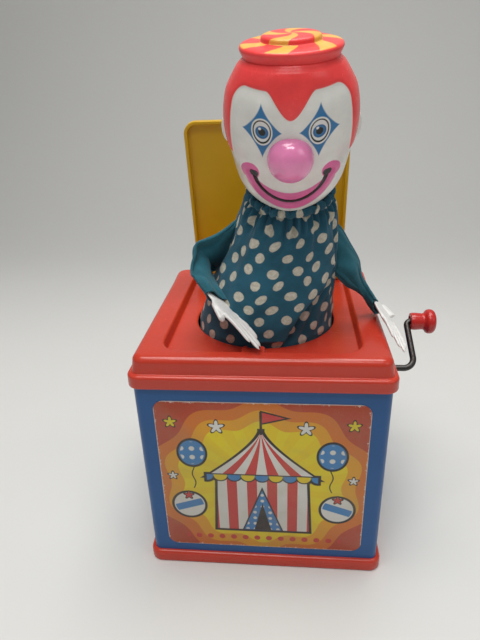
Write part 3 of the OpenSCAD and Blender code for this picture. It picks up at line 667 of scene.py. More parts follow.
def label_material():
    """A plain circus print: glow bands, a striped tent, balls and stars."""
    m = Mat("label_print")
    x, y, z = m.split(m.mm())
    u, v = x, z - 65.7
    au = abs(u)
    ang = vatan2(v + 4.0, u)
    far = vlen(u * 0.90, v + 4.0) + vcos(ang * 10.0) * 2.4
    gold, amber, orange, rust = (0.72, 0.57, 0.016), (0.68, 0.32, 0.022), (0.60, 0.17, 0.026), (0.44, 0.066, 0.030)
    c = m.mix(cover(42.0 - far, 0.4), gold, amber)
    c = m.mix(cover(49.0 - far, 0.4), c, orange)
    c = m.mix(cover(56.0 - far, 0.4), c, rust)
    ray = cover(vcos(ang * 20.0) * far * 0.16, 0.4)
    c = m.mix(ray * cover(far - 42.0, 0.4) * 0.28, c, (0.70, 0.42, 0.012))
    ink, paper, coral, sky = (0.020, 0.019, 0.020), (0.66, 0.65, 0.60), (0.55, 0.05, 0.045), (0.05, 0.21, 0.46)

    def draw(c, d, col, line=1.5):
        if line:
            c = m.mix(cover(d - line, 0.35), c, ink)
        return m.mix(cover(d, 0.35), c, col)

    def star(c, px, pv, size, col, both=True):
        du, dv = (au if both else u) - px, v - pv
        r, a = vlen(du, dv), vatan2(dv, du)
        return draw(c, r - size * (0.70 + 0.30 * vcos((a - math.pi / 2) * 5.0)), col, 0.9)

    # ground strip with a row of dots
    ground = vmax(v + 38.5, au - 49.0)
    lu = vmod(u, 7.0) - 3.5
    c = m.mix(cover(vmax(vlen(lu, v + 44.6) - 1.8, au - 45.5), 0.35), c, coral)
    # balls on each side, dotted and plain
    ball = vlen(au - 42.5, v + 20.0) - 9.0
    c = draw(c, ball, paper)
    band = abs(v + 20.0 + (au - 42.5) * 0.35) - 2.6
    c = m.mix(cover(vmax(band, ball + 0.6), 0.35), c, sky)
    c = star(c, 42.5, -12.9, 2.6, coral)
    # balloons above
    balloon = vlen((au - 38.5) / 0.86, v - 18.0 + (au - 38.5) * 0.0) - 8.6
    string = vmax(abs(au - 38.5 - vsin(v * 0.5) * 0.8) - 0.35, abs(v - 1.0) - 8.4)
    c = m.mix(cover(string, 0.3), c, ink)
    c = draw(c, balloon, sky)
    lu, lv = vmod(au + 0.5, 6.0) - 3.0, vmod(v, 6.0) - 3.0
    c = m.mix(cover(vmax(vlen(lu, lv) - 1.55, balloon + 0.9), 0.35), c, paper)
    c = star(c, 24.0, 36.0, 4.2, paper)
    c = star(c, 49.0, 38.5, 3.4, gold)
    c = star(c, 50.5, 1.5, 2.6, paper)
    # tent: walls, valance, roof, flag
    wall = vmax(au - 25.0 + v * 0.05, abs(v + 17.0) - 21.0)
    roof_w = 31.0 * vpow(vmax((34.0 - v) / 32.0, 0.0001), 1.35)
    roof = vmax((au - roof_w) * 0.8, abs(v - 18.0) - 16.0)
    k = vmod(u + 3.9, 7.8) - 3.9
    frill = vmax(vmax(vlen(k, v - 3.0) - 3.9, au - 31.2), v - 3.2)
    whole = vmin(vmin(wall, roof), frill)
    c = m.mix(cover(whole - 1.6, 0.35), c, ink)
    stripe = vmod(vfloor(u / 5.7 + 0.5), 2.0)
    c = m.mix(cover(wall, 0.35), c, m.mix(stripe, paper, coral))
    door = vmax(au - 11.0 + (v + 38.0) * 0.36, -1.0 * (v + 38.0))
    c = m.mix(cover(door - 0.9, 0.35), c, ink)
    c = m.mix(cover(door, 0.35), c, sky)
    lu, lv = vmod(u + 2.2, 4.4) - 2.2, vmod(v, 4.4) - 2.2
    c = m.mix(cover(vmax(vlen(lu, lv) - 1.05, door + 0.4), 0.3), c, paper)
    c = m.mix(cover(vmax(au - 5.0 + (v + 38.0) * 0.24, -1.0 * (v + 38.0)), 0.35), c, ink)
    gore = vmod(vfloor(u / (roof_w + 0.01) * 4.5 + 0.5), 2.0)
    c = m.mix(cover(roof, 0.35), c, m.mix(gore, paper, coral))
    c = m.mix(cover(vmin(frill - 0.8, abs(v - 3.0) + vmax(au - 31.0, 0.0) - 0.8), 0.35), c, ink)
    c = m.mix(cover(frill, 0.35), c, m.mix(vmod(vfloor((u + 3.9) / 7.8), 2.0), sky, (0.70, 0.52, 0.02)))
    pole = vmax(au - 0.7, abs(v - 39.0) - 7.5)
    flag = vmax(abs(v - 42.6) - 3.4 * (1.0 - (u - 0.7) / 12.0), 0.7 - u)
    c = m.mix(cover(vmin(pole, flag - 1.0), 0.35), c, ink)
    c = m.mix(cover(flag, 0.35), c, coral)
    # age: stains, print grain, scuffed corners and edge
    stain, grain = m.noise(0.045, 4, 0.65), m.noise(2.2, 3, 0.6)
    c = m.mix(m.ramp(stain, 0.42, 0.75) * 0.22, c, (0.33, 0.24, 0.12))
    c = m.mix(m.ramp(grain, 0.5, 0.8) * 0.10, c, (0.70, 0.66, 0.55))
    rim = vmax(au - 57.4, abs(v) - 51.9)
    chip = cover(-1.0 * rim - 0.3 - m.ramp(m.noise(0.55, 5, 0.7), 0.5, 0.72) * 1.5, 0.4)
    c = m.mix(chip * 0.75, c, (0.72, 0.69, 0.62))
    speck = m.ramp(m.noise(0.9, 7, 0.75), 0.66, 0.70)
    c = m.mix(speck * 0.5, c, (0.16, 0.10, 0.05))
    m.set(Base_Color=c, Roughness=0.36 + (stain - 0.5) * 0.2 + speck * 0.2, Specular_IOR_Level=0.5)
    n = m.bump(m.noise(0.05, 3), 0.0012, 0.3)
    m.put(m.b.inputs["Normal"], m.bump(grain, 0.00002, 0.4, n))
    return m


label_mat = label_material()

# ------------------------------------------------------------------ CAD nodes that stay: better finishes
KEEPERS = {
    steel: ("base_screws", "hinge_pin", "spring_seat", "music_screws", "drum_axle", "tone_comb", "comb_screws", "latch_bracket", "lid_catch", "crank_collar", "trip_pin", "latch_lever", "latch_shaft", "trip_arm"),
    dark: ("latch_spring",),
    ivory: ("hem_ring", "music_plate", "crank_bush", "head_plug", "crank_pinion", "tune_wheel"),
    blue: ("box_shell",),
}
for mat, names in KEEPERS.items():
    for n in names:
        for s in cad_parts[n].material_slots:
            s.material = mat.m

# ------------------------------------------------------------------ base
prof = [(60.0, 0.9), (66.0, 0.9), (66.4, 0.0), (69.0, 0.0)] + arc(69.0, 1.0, 1.0, -90, 0, 5)[1:] + [(69.95, 5.9)] + arc(68.0, 6.0, 1.9, 0, 90, 7) + [(66.0, 7.9), (62.9, 7.9)]
loops = [at_z(rrect(-h, h, -h, h, max(1.5, 7 - (70 - h))), z) for h, z in prof]
v, f = loft(loops, cap0=True, cap1=True)
foot = outward(obj_of("base_foot", v, f, red, sharp=50))
tools = []
for sx in (-1, 1):
    for sy in (-1, 1):
        tv, tf = lathe([(0, -1), (3.3, -1), (3.3, 2.6), (0, 2.6)], 32)
        tools.append(outward(obj_of("tool", tv + np.array((sx * 54.5, sy * 54.5, 0)), tf, red)))
cut(foot, tools, 50)
settle(foot, "box", ("base_tray",))

# ------------------------------------------------------------------ top moulding
def frame_loops():
    out = []

    def add(front, side, back, r, z, zb=None):
        p = rrect(-side, side, -front, back, r)
        w = np.clip((p[:, 1] - 40) / 22, 0, 1)
        out.append(at_z(p, z + (zb - z) * w * w * (3 - 2 * w) if zb is not None else z))

    for h, z in [(67.65, 125.6), (69.1, 125.6)] + arc(69.1, 126.5, 0.9, -90, 0, 5)[1:] + [(69.9, 131.4)] + arc(68.2, 131.6, 1.7, 0, 90, 6) + [(67.95, 133.3)] + arc(67.9, 133.9, 0.6, -90, -180, 4)[1:]:
        add(h, h, h, max(3.5, 7 - (70 - h)), z)
    for a in np.linspace(0, 90, 9):
        ca, sa = math.cos(math.radians(a)), math.sin(math.radians(a))
        h, b = 63.2 + 3.8 * ca, 64.75 + 2.3 * ca
        add(h, h, b, 3.0 + 3.2 * ca, 139.0 + 3.8 * sa, 140.5 + 2.3 * sa)

    def well(e, eb, z, hw=52.6, front=58.0, rf=11.5):
        out.append(at_z(rrect(-hw - e, hw + e, -front - e, 64.2 + eb, (rf + e, rf + e, 2.4, 2.4)), z))

    well(1.7, 0.34, 142.8)
    for a in np.linspace(90, 8, 8):
        ca, sa = math.cos(math.radians(a)), math.sin(math.radians(a))
        well(1.3 - 1.3 * ca, 0.3 - 0.3 * ca, 141.5 + 1.3 * sa)
    well(-0.3, -0.08, 139.4)
    for a in np.linspace(184, 270, 6):
        ca, sa = math.cos(math.radians(a)), math.sin(math.radians(a))
        well(-0.6 - 0.7 * (1 + ca), -0.12 - 0.4 * (1 + ca), 137.8 + 0.7 * sa)
    base = rrect(-51.0, 51.0, -56.4, 63.4, (10.0, 10.0, 2.2, 2.2))
    ang = np.arctan2(base[:, 1] + 2.2, base[:, 0])

    def ring(r, z):
        out.append(np.c_[r * np.cos(ang), -2.2 + r * np.sin(ang), np.full(len(ang), z)])

    ring(42.8, 137.1)
    for a in np.linspace(90, 0, 5):
        ring(42.3 - 1.0 * math.cos(math.radians(a)), 136.1 + 1.0 * math.sin(math.radians(a)))
    ring(41.3, 134.9)
    ring(41.7, 134.3)
    for h, r, z in ((64.7, 3.0, 134.3), (64.7, 3.0, 130.5), (67.6, 4.1, 130.4)):
        out.append(at_z(rrect(-h, h, -h, h, r), z))
    return out


v, f = loft(frame_loops(), ring=True)
top = outward(obj_of("top_moulding", v, f, red, sharp=60))
# the cover over the latch, part of the same moulding
loops = [at_z(rrect(-10.2 + i, 2.2 - i, -60.0, -49.3 - i, (0.5, 0.5, 2.2 - i, 2.2 - i)), z) for i, z in [(-0.25, 136.4), (0.0, 140.2)] + [(0.9 - q, z) for q, z in arc(0, 140.7, 0.9, 0, 90, 6)]]
v, f = loft(loops, cap0=True, cap1=True)
cover_block = outward(obj_of("tool", v, f, red))
m = top.modifiers.new("join", "BOOLEAN")
m.operation, m.solver, m.object = "UNION", "EXACT", cover_block
apply_mods(top)
bpy.data.objects.remove(cover_block)
cut(top, [box_tool(-8.2, 0.2, -61.6, -48.1, 120, 140.9), box_tool(-7.4, -0.6, -53.2, -47.5, 120, 150)], 60)
settle(top, "box", ("top_frame",))

# ------------------------------------------------------------------ label
sheet_loops = [rrect(-57.4, 57.4, -51.9, 51.9, 6.0), rrect(-57.4, 57.4, -51.9, 51.9, 6.0), rrect(-57.25, 57.25, -51.75, 51.75, 5.85)]
ys = (-67.53, -67.74, -67.83)
v, f = loft([np.c_[p[:, 0], np.full(len(p), yy), p[:, 1] + 65.7] for p, yy in zip(sheet_loops, ys)], cap0=True, cap1=True)
label = outward(obj_of("printed_label", v, f, label_mat, sharp=40))
settle(label, "box", ("front_label",))

# ------------------------------------------------------------------ lid
def lid_loop(i, z, y0=-48.0, y1=58.2):
    return at_z(rrect(-51.3 + i, 51.3 - i, y0 + i, y1 - i, (max(1.0, 8.0 - i), max(1.0, 8.0 - i), max(0.6, 2.6 - i), max(0.6, 2.6 - i))), z)


loops = [lid_loop(10.0, 140.4), lid_loop(4.0, 140.4)]
loops += [lid_loop(h, z) for h, z in arc(3.2, 139.4, 1.0, 90, 180, 5)]
loops += [lid_loop(2.2, 138.0)] + [lid_loop(h, z) for h, z in arc(1.7, 137.9, 0.5, 0, -90, 4)]
loops += [lid_loop(h, z) for h, z in arc(0.6, 138.0, 0.6, -90, -180, 4)]
loops += [lid_loop(0.05, 140.7)] + [lid_loop(h, z) for h, z in arc(1.7, 140.8, 1.6, 180, 90, 6)] + [lid_loop(6.0, 142.4), lid_loop(6.4, 142.1), lid_loop(12.0, 142.1)]
v, f = loft(loops, cap0=True, cap1=True)
parts_v, parts_f = [v], list(f)
count = len(v)
for x0 in (-49.0, -8.0, 31.0):
    kv, kf = lathe([(1.25, 0.0), (2.1, 0.0), (2.5, 0.4), (2.5, 17.6), (2.1, 18.0), (1.25, 18.0), (1.25, 0.0)], 40)
    kv = np.c_[kv[:, 2] + x0, kv[:, 0] + HINGE[0], kv[:, 1] + HINGE[1]]
    parts_v.append(kv)
    parts_f += [tuple(q + count for q in face) for face in kf]
    count += len(kv)
    arm = [np.array([(x, 57.4, z) for x, z in ((x0 + 0.2, 139.3), (x0 + 17.8, 139.3), (x0 + 17.8, 141.8), (x0 + 0.2, 141.8))]), np.array([(x, 60.2, z) for x, z in ((x0 + 0.2, 140.7), (x0 + 17.8, 140.7), (x0 + 17.8, 141.75), (x0 + 0.2, 141.75))])]
    av, af = loft(arm, cap0=True, cap1=True)
    parts_v.append(av)
    parts_f += [tuple(q + count for q in face) for face in af]
    count += len(av)
lid = outward(obj_of("lid_panel", open_lid(np.concatenate(parts_v)), parts_f, yellow, sharp=50))
settle(lid, "lid", ("lid",))

# ------------------------------------------------------------------ head
def head_surface(nt=300, nz=210):
    # height, half width, depth in front, depth behind
    prof = [(-37.0, 14.2, 14.2, 14.2), (-36.3, 15.6, 16.4, 15.4), (-34.6, 17.6, 18.8, 16.2), (-32.2, 20.4, 21.2, 18.2), (-29.0, 23.3, 23.2, 20.4), (-25.0, 25.7, 24.8, 22.9), (-20.0, 27.2, 26.3, 25.2), (-14.0, 28.2, 27.6, 27.2), (-6.0, 29.5, 28.7, 28.8), (2.0, 30.6, 29.0, 29.0), (8.0, 30.6, 28.9, 28.9), (14.0, 29.8, 28.2, 28.2), (19.0, 28.4, 26.8, 26.6), (23.5, 26.0, 25.0, 24.8), (27.0, 23.9, 23.5, 23.3), (29.2, 22.4, 22.2, 22.1), (30.6, 21.5, 21.4, 21.4), (31.2, 20.9, 20.9, 20.9), (31.25, 15.0, 15.0, 15.0)]
    p = fair([(w, z, f, b) for z, w, f, b in prof], nz)
    r, z = p[:, 0], p[:, 1]
    th = np.linspace(0, 2 * math.pi, nt, endpoint=False) - math.pi / 2
    T, R = np.meshgrid(th, r)
    Z = np.repeat(z[:, None], nt, 1)
    dr, dz = np.gradient(r), np.gradient(z)
    ln = np.hypot(dr, dz)
    nr, nzv = np.repeat((dz / ln)[:, None], nt, 1), np.repeat((-dr / ln)[:, None], nt, 1)
    X, Y = R * np.cos(T), np.where(np.sin(T) < 0, p[:, 2:3], p[:, 3:4]) * np.sin(T)
    # the crown rises towards the front, to the tilted hat
    w = np.clip((Z - 8) / 20.9, 0, 1)
    crown = 31.2 - Z
    Z = Z - w * w * (3 - 2 * w) * Y * math.tan(HAT_TILT)

    def g(cx, cy, cz, s):
        return np.exp(-((np.abs(X) - cx) ** 2 + (Y - cy) ** 2 + (Z - cz) ** 2) / (2 * s * s))

    d = 1.2 * g(0, -21, -29, 6.0) + 1.5 * g(17.5, -20, -9.0, 6.5) + 1.1 * g(12.2, -25, 18.0, 4.2) - 1.7 * g(12.2, -26, 10.4, 4.4)
    d = d - 0.9 * g(25, -12, -19, 6.0) - 1.5 * g(0, -29, -2, 6.5)
    s = face_shapes(X, Z)
    front = np.clip((-6 - Y) / 2 + 0.5, 0, 1)
    d = d + 0.7 * cover(s["lips"], 1.8) * front - 1.0 * cover(s["line"], 0.9) * front
    d = d + 0.45 * np.exp(-((s["eye"] - 0.7) / 0.9) ** 2) * front + 0.5 * cover(s["eye"], 3.4) * front
    d = d + 0.6 * cover(hair_edge(X, Y, Z), 1.6)
    top_fade = np.clip((crown - 0.6) / 2.0, 0, 1) * np.clip((Z + 36.5) / 3.0, 0, 1)
    d = d * top_fade
    X, Y, Z = X + d * nr * np.cos(T), Y + d * nr * np.sin(T), Z + d * nzv
    v = np.stack([X, Y, Z], -1).reshape(-1, 3)
    f = []
    for i in range(nz - 1):
        for k in range(nt):
            j = (k + 1) % nt
            f.append((i * nt + k, i * nt + j, (i + 1) * nt + j, (i + 1) * nt + k))
    f.append(tuple(range(nt - 1, -1, -1)))
    f.append(tuple((nz - 1) * nt + k for k in range(nt)))
    return v, f


v, f = head_surface()
head = outward(obj_of("clown_face", v, f, face_mat, matrix=head_m))
settle(head, "clown", ("clown_head",))

ev, ef = [], []
for s in (-1, 1):
    n, k = 40, 28
    th, ph = np.meshgrid(np.linspace(0, 2 * math.pi, n, endpoint=False), np.linspace(0.02, math.pi - 0.02, k))
    X, Y, Z = np.sin(ph) * np.cos(th), np.sin(ph) * np.sin(th), np.cos(ph)
    dent = np.exp(-(((Y + 0.25) / 0.45) ** 2 + ((Z - 0.05) / 0.5) ** 2)) * (X > 0)
    pts = np.stack([X * 3.6 * (1 - 0.55 * dent), Y * 5.0, Z * 7.0 * (1 + 0.08 * Y)], -1)
    a = math.radians(-28)
    px, py = pts[..., 0] * math.cos(a) - pts[..., 1] * math.sin(a), pts[..., 0] * math.sin(a) + pts[..., 1] * math.cos(a)
    q = np.stack([s * (px + 29.4), py + 2.5, pts[..., 2] - 2.0], -1).reshape(-1, 3)
    base_i = sum(len(e) for e in ev)
    ev.append(q)
    for i in range(k - 1):
        for j in range(n):
            jj = (j + 1) % n
            ef.append(tuple(base_i + t for t in (i * n + j, i * n + jj, (i + 1) * n + jj, (i + 1) * n + j)))
    ef.append(tuple(base_i + t for t in range(n)))
    ef.append(tuple(base_i + (k - 1) * n + t for t in range(n - 1, -1, -1)))
ears = outward(obj_of("clown_ears", np.concatenate(ev), ef, ear_mat, matrix=head_m))
settle(ears, "clown")

hat_prof = fair([(20.3, 0.05, 0), (20.4, 0.8, 0), (20.75, 2.2, 0), (21.4, 3.8, 0), (22.0, 5.0, 0), (22.25, 5.8, 0), (22.1, 6.5, 0), (21.5, 7.1, 0), (20.4, 7.4, 0), (16.5, 7.8, 0), (13.7, 8.05, 0), (13.1, 8.25, 0), (12.95, 8.7, 0), (12.9, 9.3, 0), (12.6, 9.9, 0), (11.9, 10.3, 0), (10.4, 10.5, 0), (6.0, 10.6, 0), (0.4, 10.65, 0)], 90)
v, f = lathe([(0, 0.05)] + [(r, z) for r, z, _ in hat_prof] + [(0, 10.65)], 128)
hat = outward(obj_of("clown_hat_swirl", v, f, hat_mat, sharp=50, matrix=hat_m))
settle(hat, "clown", ("clown_hat",))

n, k = 72, 48
th, ph = np.meshgrid(np.linspace(0, 2 * math.pi, n, endpoint=False), np.linspace(0.01, math.pi - 0.01, k))
r = 9.5 * (1 + 0.004 * np.sin(3 * th) * np.sin(ph) - 0.006 * np.exp(-((ph - 1.57) / 0.02) ** 2))
pts = np.stack([1.08 * r * np.sin(ph) * np.cos(th), r * np.cos(ph) * -1.0 - 27.6, 1.08 * r * np.sin(ph) * np.sin(th) - 2.0], -1).reshape(-1, 3)
nf = [(i * n + j, i * n + (j + 1) % n, (i + 1) * n + (j + 1) % n, (i + 1) * n + j) for i in range(k - 1) for j in range(n)]
nf += [tuple(range(n)), tuple((k - 1) * n + t for t in range(n - 1, -1, -1))]
nose = outward(obj_of("nose_ball", pts, nf, nose_mat, matrix=head_m))
settle(nose, "clown", ("clown_nose",))

# ------------------------------------------------------------------ suit
SUIT = [(11.2, 0, 6, 32.2, 0), (40, 0, 4, 34, 0), (80, 0, 0, 36, 0), (115, 0.3, -3, 38.6, 0), (132, 0.2, -3.4, 40.2, 0), (141, 0.6, -4.4, 39.8, 0.4), (150, 1.9, -6.8, 38.0, 1.2), (162, 4.4, -9, 35.8, 3), (173, 7.0, -11, 33.4, 6), (187, 10.2, -13.2, 29.8, 11), (198, 12.2, -14.9, 26.8, 16), (205.5, 13.6, -15.8, 24.4, 20), (210.6, 14.3, -16.3, 22.8, 22), (213.2, 14.6, -16.65, 21.2, 22), (214.7, 14.7, -16.9, 20.3, 22)]


def suit_surface(nt=420, nz=280):
    s = fair([(x, y, z, r, t) for z, x, y, r, t in SUIT], nz)
    cx, cy, cz, r, tilt = s.T
    th = np.linspace(0, 2 * math.pi, nt + 1) + math.pi / 2
    T = np.repeat(th[None], nz, 0)
    Zc = np.repeat(cz[:, None], nt + 1, 1)
    down = 214.7 - Zc
    # gathers under the neck band, soon loosening into a few broad folds
    g1 = waves(T, Zc, 9, 24, 38, 60, 3)
    g2 = waves(T, Zc, 7, 10, 17, 40, 5)
    g3 = waves(T, Zc, 8, 3, 7, 45, 8)
    sharp = np.sign(g1) * np.abs(g1) ** 0.8
    amp1 = (0.35 + 0.95 * np.exp(-((down - 4) / 6.0) ** 2)) * np.exp(-np.clip(down - 7, 0, None) / 8.0)
    amp2 = 1.15 * np.exp(-((down - 11) / 11.0) ** 2) + 0.18 * np.exp(-((down - 45) / 25.0) ** 2)
    amp3 = 0.9 * np.clip(down / 25, 0, 1) * np.exp(-((down - 42) / 30.0) ** 2) + 0.25
    d = amp1 * sharp + amp2 * g2 + amp3 * g3
    # the loose front hangs over the tube below in a point: a step along each of its two slanting edges
    deg = np.degrees(T) % 360
    deg = np.where(deg < 90, deg + 360, deg)
    edge_l = np.interp(Zc, (134, 139, 148, 159, 166.6, 178), (271, 265, 252, 232, 215, 192))
    edge_r = np.interp(Zc, (134, 140.4, 146, 158.8, 167.7, 178, 190), (284, 287.5, 291, 298, 311.5, 328, 345))
    live = np.clip((Zc - 134) / 8, 0, 1) * np.clip((186 - Zc) / 20, 0, 1)

    def ease(x):
        x = np.clip(x, 0, 1)
        return x * x * (3 - 2 * x)

    flap = ease((deg - edge_l + 2.2) / 4.4) * ease((edge_r - deg + 2.2) / 4.4)
    d += live * (2.6 * flap - 2.4 * (1 - flap) * (np.exp(-np.clip(edge_l - deg, 0, None) / 17) * (deg < 276) + 1.2 * np.exp(-np.clip(deg - edge_r, 0, None) / 13) * (deg >= 276)))
    # narrow folds beside the right edge, and the sewn side seams
    for off, depth, wid in ((15, 1.5, 3.6), (29, 1.1, 4.5)):
        d -= live * depth * np.exp(-((deg - edge_r - off) / wid) ** 2)
    for t0, depth, wid in ((341, 1.6, 4.0), (188, 1.5, 5.0)):
        up = np.clip((Zc - 150) / 14, 0, 1) * np.clip((207 - Zc) / 14, 0, 1)
        d += up * depth * (-np.exp(-((deg - t0) / wid) ** 2) + 0.5 * np.exp(-((np.abs(deg - t0) - 2.1 * wid) / (1.1 * wid)) ** 2))
    # small creases, and slack that settles on the rim of the hole
    d += 0.24 * waves(T + 0.15 * np.sin(Zc / 7), Zc, 12, 8, 26, 5, 31)
    d += 0.5 * np.exp(-((Zc - 146) / 5.0) ** 2) * waves(T, Zc, 6, 5, 11, 30, 21)
    low = np.clip((Zc - 130) / 8, 0, 1)
    d = d * (0.3 + 0.7 * low)
    d[:, -1] = d[:, 0]
    R = r[:, None] + d
    tr = np.radians(tilt)[:, None]
    X = cx[:, None] + R * np.cos(T)
    Y = cy[:, None] + R * np.sin(T) * np.cos(tr)
    Z = Zc + R * np.sin(T) * np.sin(tr)
    # inside the hole the cloth stays within its wall
    far = np.hypot(X, Y + 2.2)
    most = np.interp(Z, (110, 126, 132, 137.5, 140.5, 146), (37.5, 38.5, 40.6, 40.9, 42.2, 60))
    k = np.minimum(1.0, most / np.maximum(far, 1e-6))
    X, Y = X * k, (Y + 2.2) * k - 2.2
    # the print runs level round the front and meets at a seam down the back
    run = np.r_[0, np.cumsum(np.linalg.norm(np.diff(s[:, :3], axis=0), axis=1) + 0.35 * np.abs(np.diff(r)))]
    wide = 0.8 * r + 0.2 * 38.0
    u = (T - 1.5 * math.pi) * wide[:, None] / 100 + 2.36
    vv = np.repeat(run[:, None], nt + 1, 1) / 100
    v = np.stack([X, Y, Z], -1)[:, :-1].reshape(-1, 3)
    f, uvs = [], []
    for i in range(nz - 1):
        for k in range(nt):
            j = (k + 1) % nt
            f.append((i * nt + k, i * nt + j, (i + 1) * nt + j, (i + 1) * nt + k))
            uvs += [(u[i, k], vv[i, k]), (u[i, k + 1], vv[i, k]), (u[i + 1, k + 1], vv[i + 1, k]), (u[i + 1, k], vv[i + 1, k])]
    return v, f, np.array(uvs), run[-1]


v, f, uvs, suit_len = suit_surface()
suit = obj_of("suit_body", v, f, suit_mat, uv=uvs)
settle(suit, "box", ("clown_suit",))
round(suit_len * MM, 4)
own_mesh(suit)


# gathered frill above the neck band
def frill_surface(nt=480, nz=44):
    th = np.linspace(0, 2 * math.pi, nt, endpoint=False)
    t = np.linspace(0, 1, nz)[:, None]
    g = waves(th[None], t * 0, 9, 26, 38, 1, 14)
    g2 = waves(th[None], t * 0, 6, 9, 15, 1, 16)
    lift = waves(th[None], t * 0, 8, 14, 30, 1, 18)
    front = 0.5 - 0.5 * np.sin(th)[None]
    # up from the gathers, over a folded edge and down again inside
    key = np.array(((0.0, 20.4, -37.8), (0.16, 21.9, -37.0), (0.36, 22.5, -35.4), (0.54, 22.1, -33.6), (0.62, 21.4, -33.0), (0.70, 20.8, -33.4), (1.0, 20.3, -36.6)))
    r0, z0 = np.interp(t, key[:, 0], key[:, 1]), np.interp(t, key[:, 0], key[:, 2])
    rise = np.interp(t, (0, 0.62, 1.0), (0, 1, 0.3))
    r = r0 + (0.45 + 0.75 * rise) * g + 0.45 * rise * g2
    z = z0 + rise * (1.6 - 1.9 * front + 0.7 * lift)
    v = np.stack([r * np.cos(th), r * np.sin(th), np.broadcast_to(z, r.shape)], -1).reshape(-1, 3)
    f, uvs = [], []
    for i in range(nz - 1):
        for k in range(nt):
            j = (k + 1) % nt
            f.append((i * nt + k, i * nt + j, (i + 1) * nt + j, (i + 1) * nt + k))
            a, b = th[k] / (2 * math.pi) * 2.0, (th[k] + 2 * math.pi / nt) / (2 * math.pi) * 2.0
            y0, y1 = 0.02 + 0.09 * t[i, 0], 0.02 + 0.09 * t[i + 1, 0]
            uvs += [(a, y0), (b, y0), (b, y1), (a, y1)]
    return v, f, np.array(uvs)


v, f, uvs = frill_surface()
frill = obj_of("neck_frill", v, f, suit_mat, uv=uvs, matrix=head_m)
mod = frill.modifiers.new("cloth", "SOLIDIFY")
mod.thickness, mod.offset = 0.0004, 1.0
apply_mods(frill)
settle(frill, "clown")
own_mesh(frill)

# neck band: a corded elastic ring pressed into the gathers
n, k = 240, 14
th = np.linspace(0, 2 * math.pi, n, endpoint=False)
loops = []
for a in np.linspace(0, 2 * math.pi, k, endpoint=False):
    rr = 0.85 + 0.12 * np.sin(60 * th + 2 * a)
    loops.append(np.c_[(19.5 + rr * math.cos(a)) * np.cos(th), (19.5 + rr * math.cos(a)) * np.sin(th), -37.9 + rr * math.sin(a)])
v, f = loft(loops, ring=True)
uvb = np.c_[np.tile(th / (2 * math.pi) * 1.22, k), np.repeat(np.linspace(0, 0.07, k), n)]
band = outward(obj_of("neck_band", v, f, band_mat, uv=uvb, matrix=head_m))
settle(band, "clown", ("neck_tie",))


# ------------------------------------------------------------------ sleeves
def flat_tube(name, st, n=80, m=130, seed=1, seam=0.7):
    """A flat sleeve of two layers through stations (centre, half width, half thickness), with sewn edges."""
    rows = fair([tuple(c) + tuple(w) + (t,) for c, w, t in st], m)
    c, w, th_ = rows[:, :3], rows[:, 3:6], rows[:, 6]
    tan = np.gradient(c, axis=0)
    for _ in range(6):
        tan[1:-1] = (tan[:-2] + 2 * tan[1:-1] + tan[2:]) / 4
    tan /= np.linalg.norm(tan, axis=1)[:, None]
    thick = np.cross(tan, w)
    thick /= np.linalg.norm(thick, axis=1)[:, None]
    th = np.linspace(0, 2 * math.pi, n, endpoint=False)
    run = np.r_[0, np.cumsum(np.linalg.norm(np.diff(c, axis=0), axis=1))]
    V = []
    wr = waves(th[None], run[:, None], 8, 1, 4, 8, seed)
    wr2 = waves(th[None], run[:, None], 8, 3, 8, 4, seed + 50)
    co, si = np.cos(th), np.sin(th)
    sq = np.sign(co) * np.abs(co) ** 0.7
    edge = np.exp(-((np.abs(co) - 1) / 0.02) ** 2)
    for i in range(m):
        wn = w[i] / max(1e-9, np.linalg.norm(w[i]))
        free = np.clip(i / 12, 0.2, 1)
        p = c[i] + sq[:, None] * w[i] + (si * th_[i])[:, None] * thick[i]
        p = p + (free * (0.6 * wr[i] + 0.36 * wr2[i]))[:, None] * thick[i] * (1 - 0.5 * np.abs(co))[:, None]
        p = p + (seam * edge * np.sign(co))[:, None] * wn
        # stitch line just inside each sewn edge
        p = p - (0.28 * np.exp(-((np.abs(co) - 0.955) / 0.012) ** 2) * np.sign(si))[:, None] * thick[i]
        V.append(p)
    v = np.concatenate(V)
    f, uvs = [], []
    for i in range(m - 1):
        for k in range(n):
            j = (k + 1) % n
            f.append((i * n + k, i * n + j, (i + 1) * n + j, (i + 1) * n + k))
            a, b = k / n * 0.48, (k + 1) / n * 0.48
            uvs += [(a, run[i] / 100), (b, run[i] / 100), (b, run[i + 1] / 100), (a, run[i + 1] / 100)]
    o = obj_of(name, v, f, sleeve_mat, uv=np.array(uvs))
    mod = o.modifiers.new("cloth", "SOLIDIFY")
    mod.thickness, mod.offset = 0.0007, 1.0
    apply_mods(o)
    o.data.polygons.foreach_set("use_smooth", [True] * len(o.data.polygons))
    return o, run[-1]


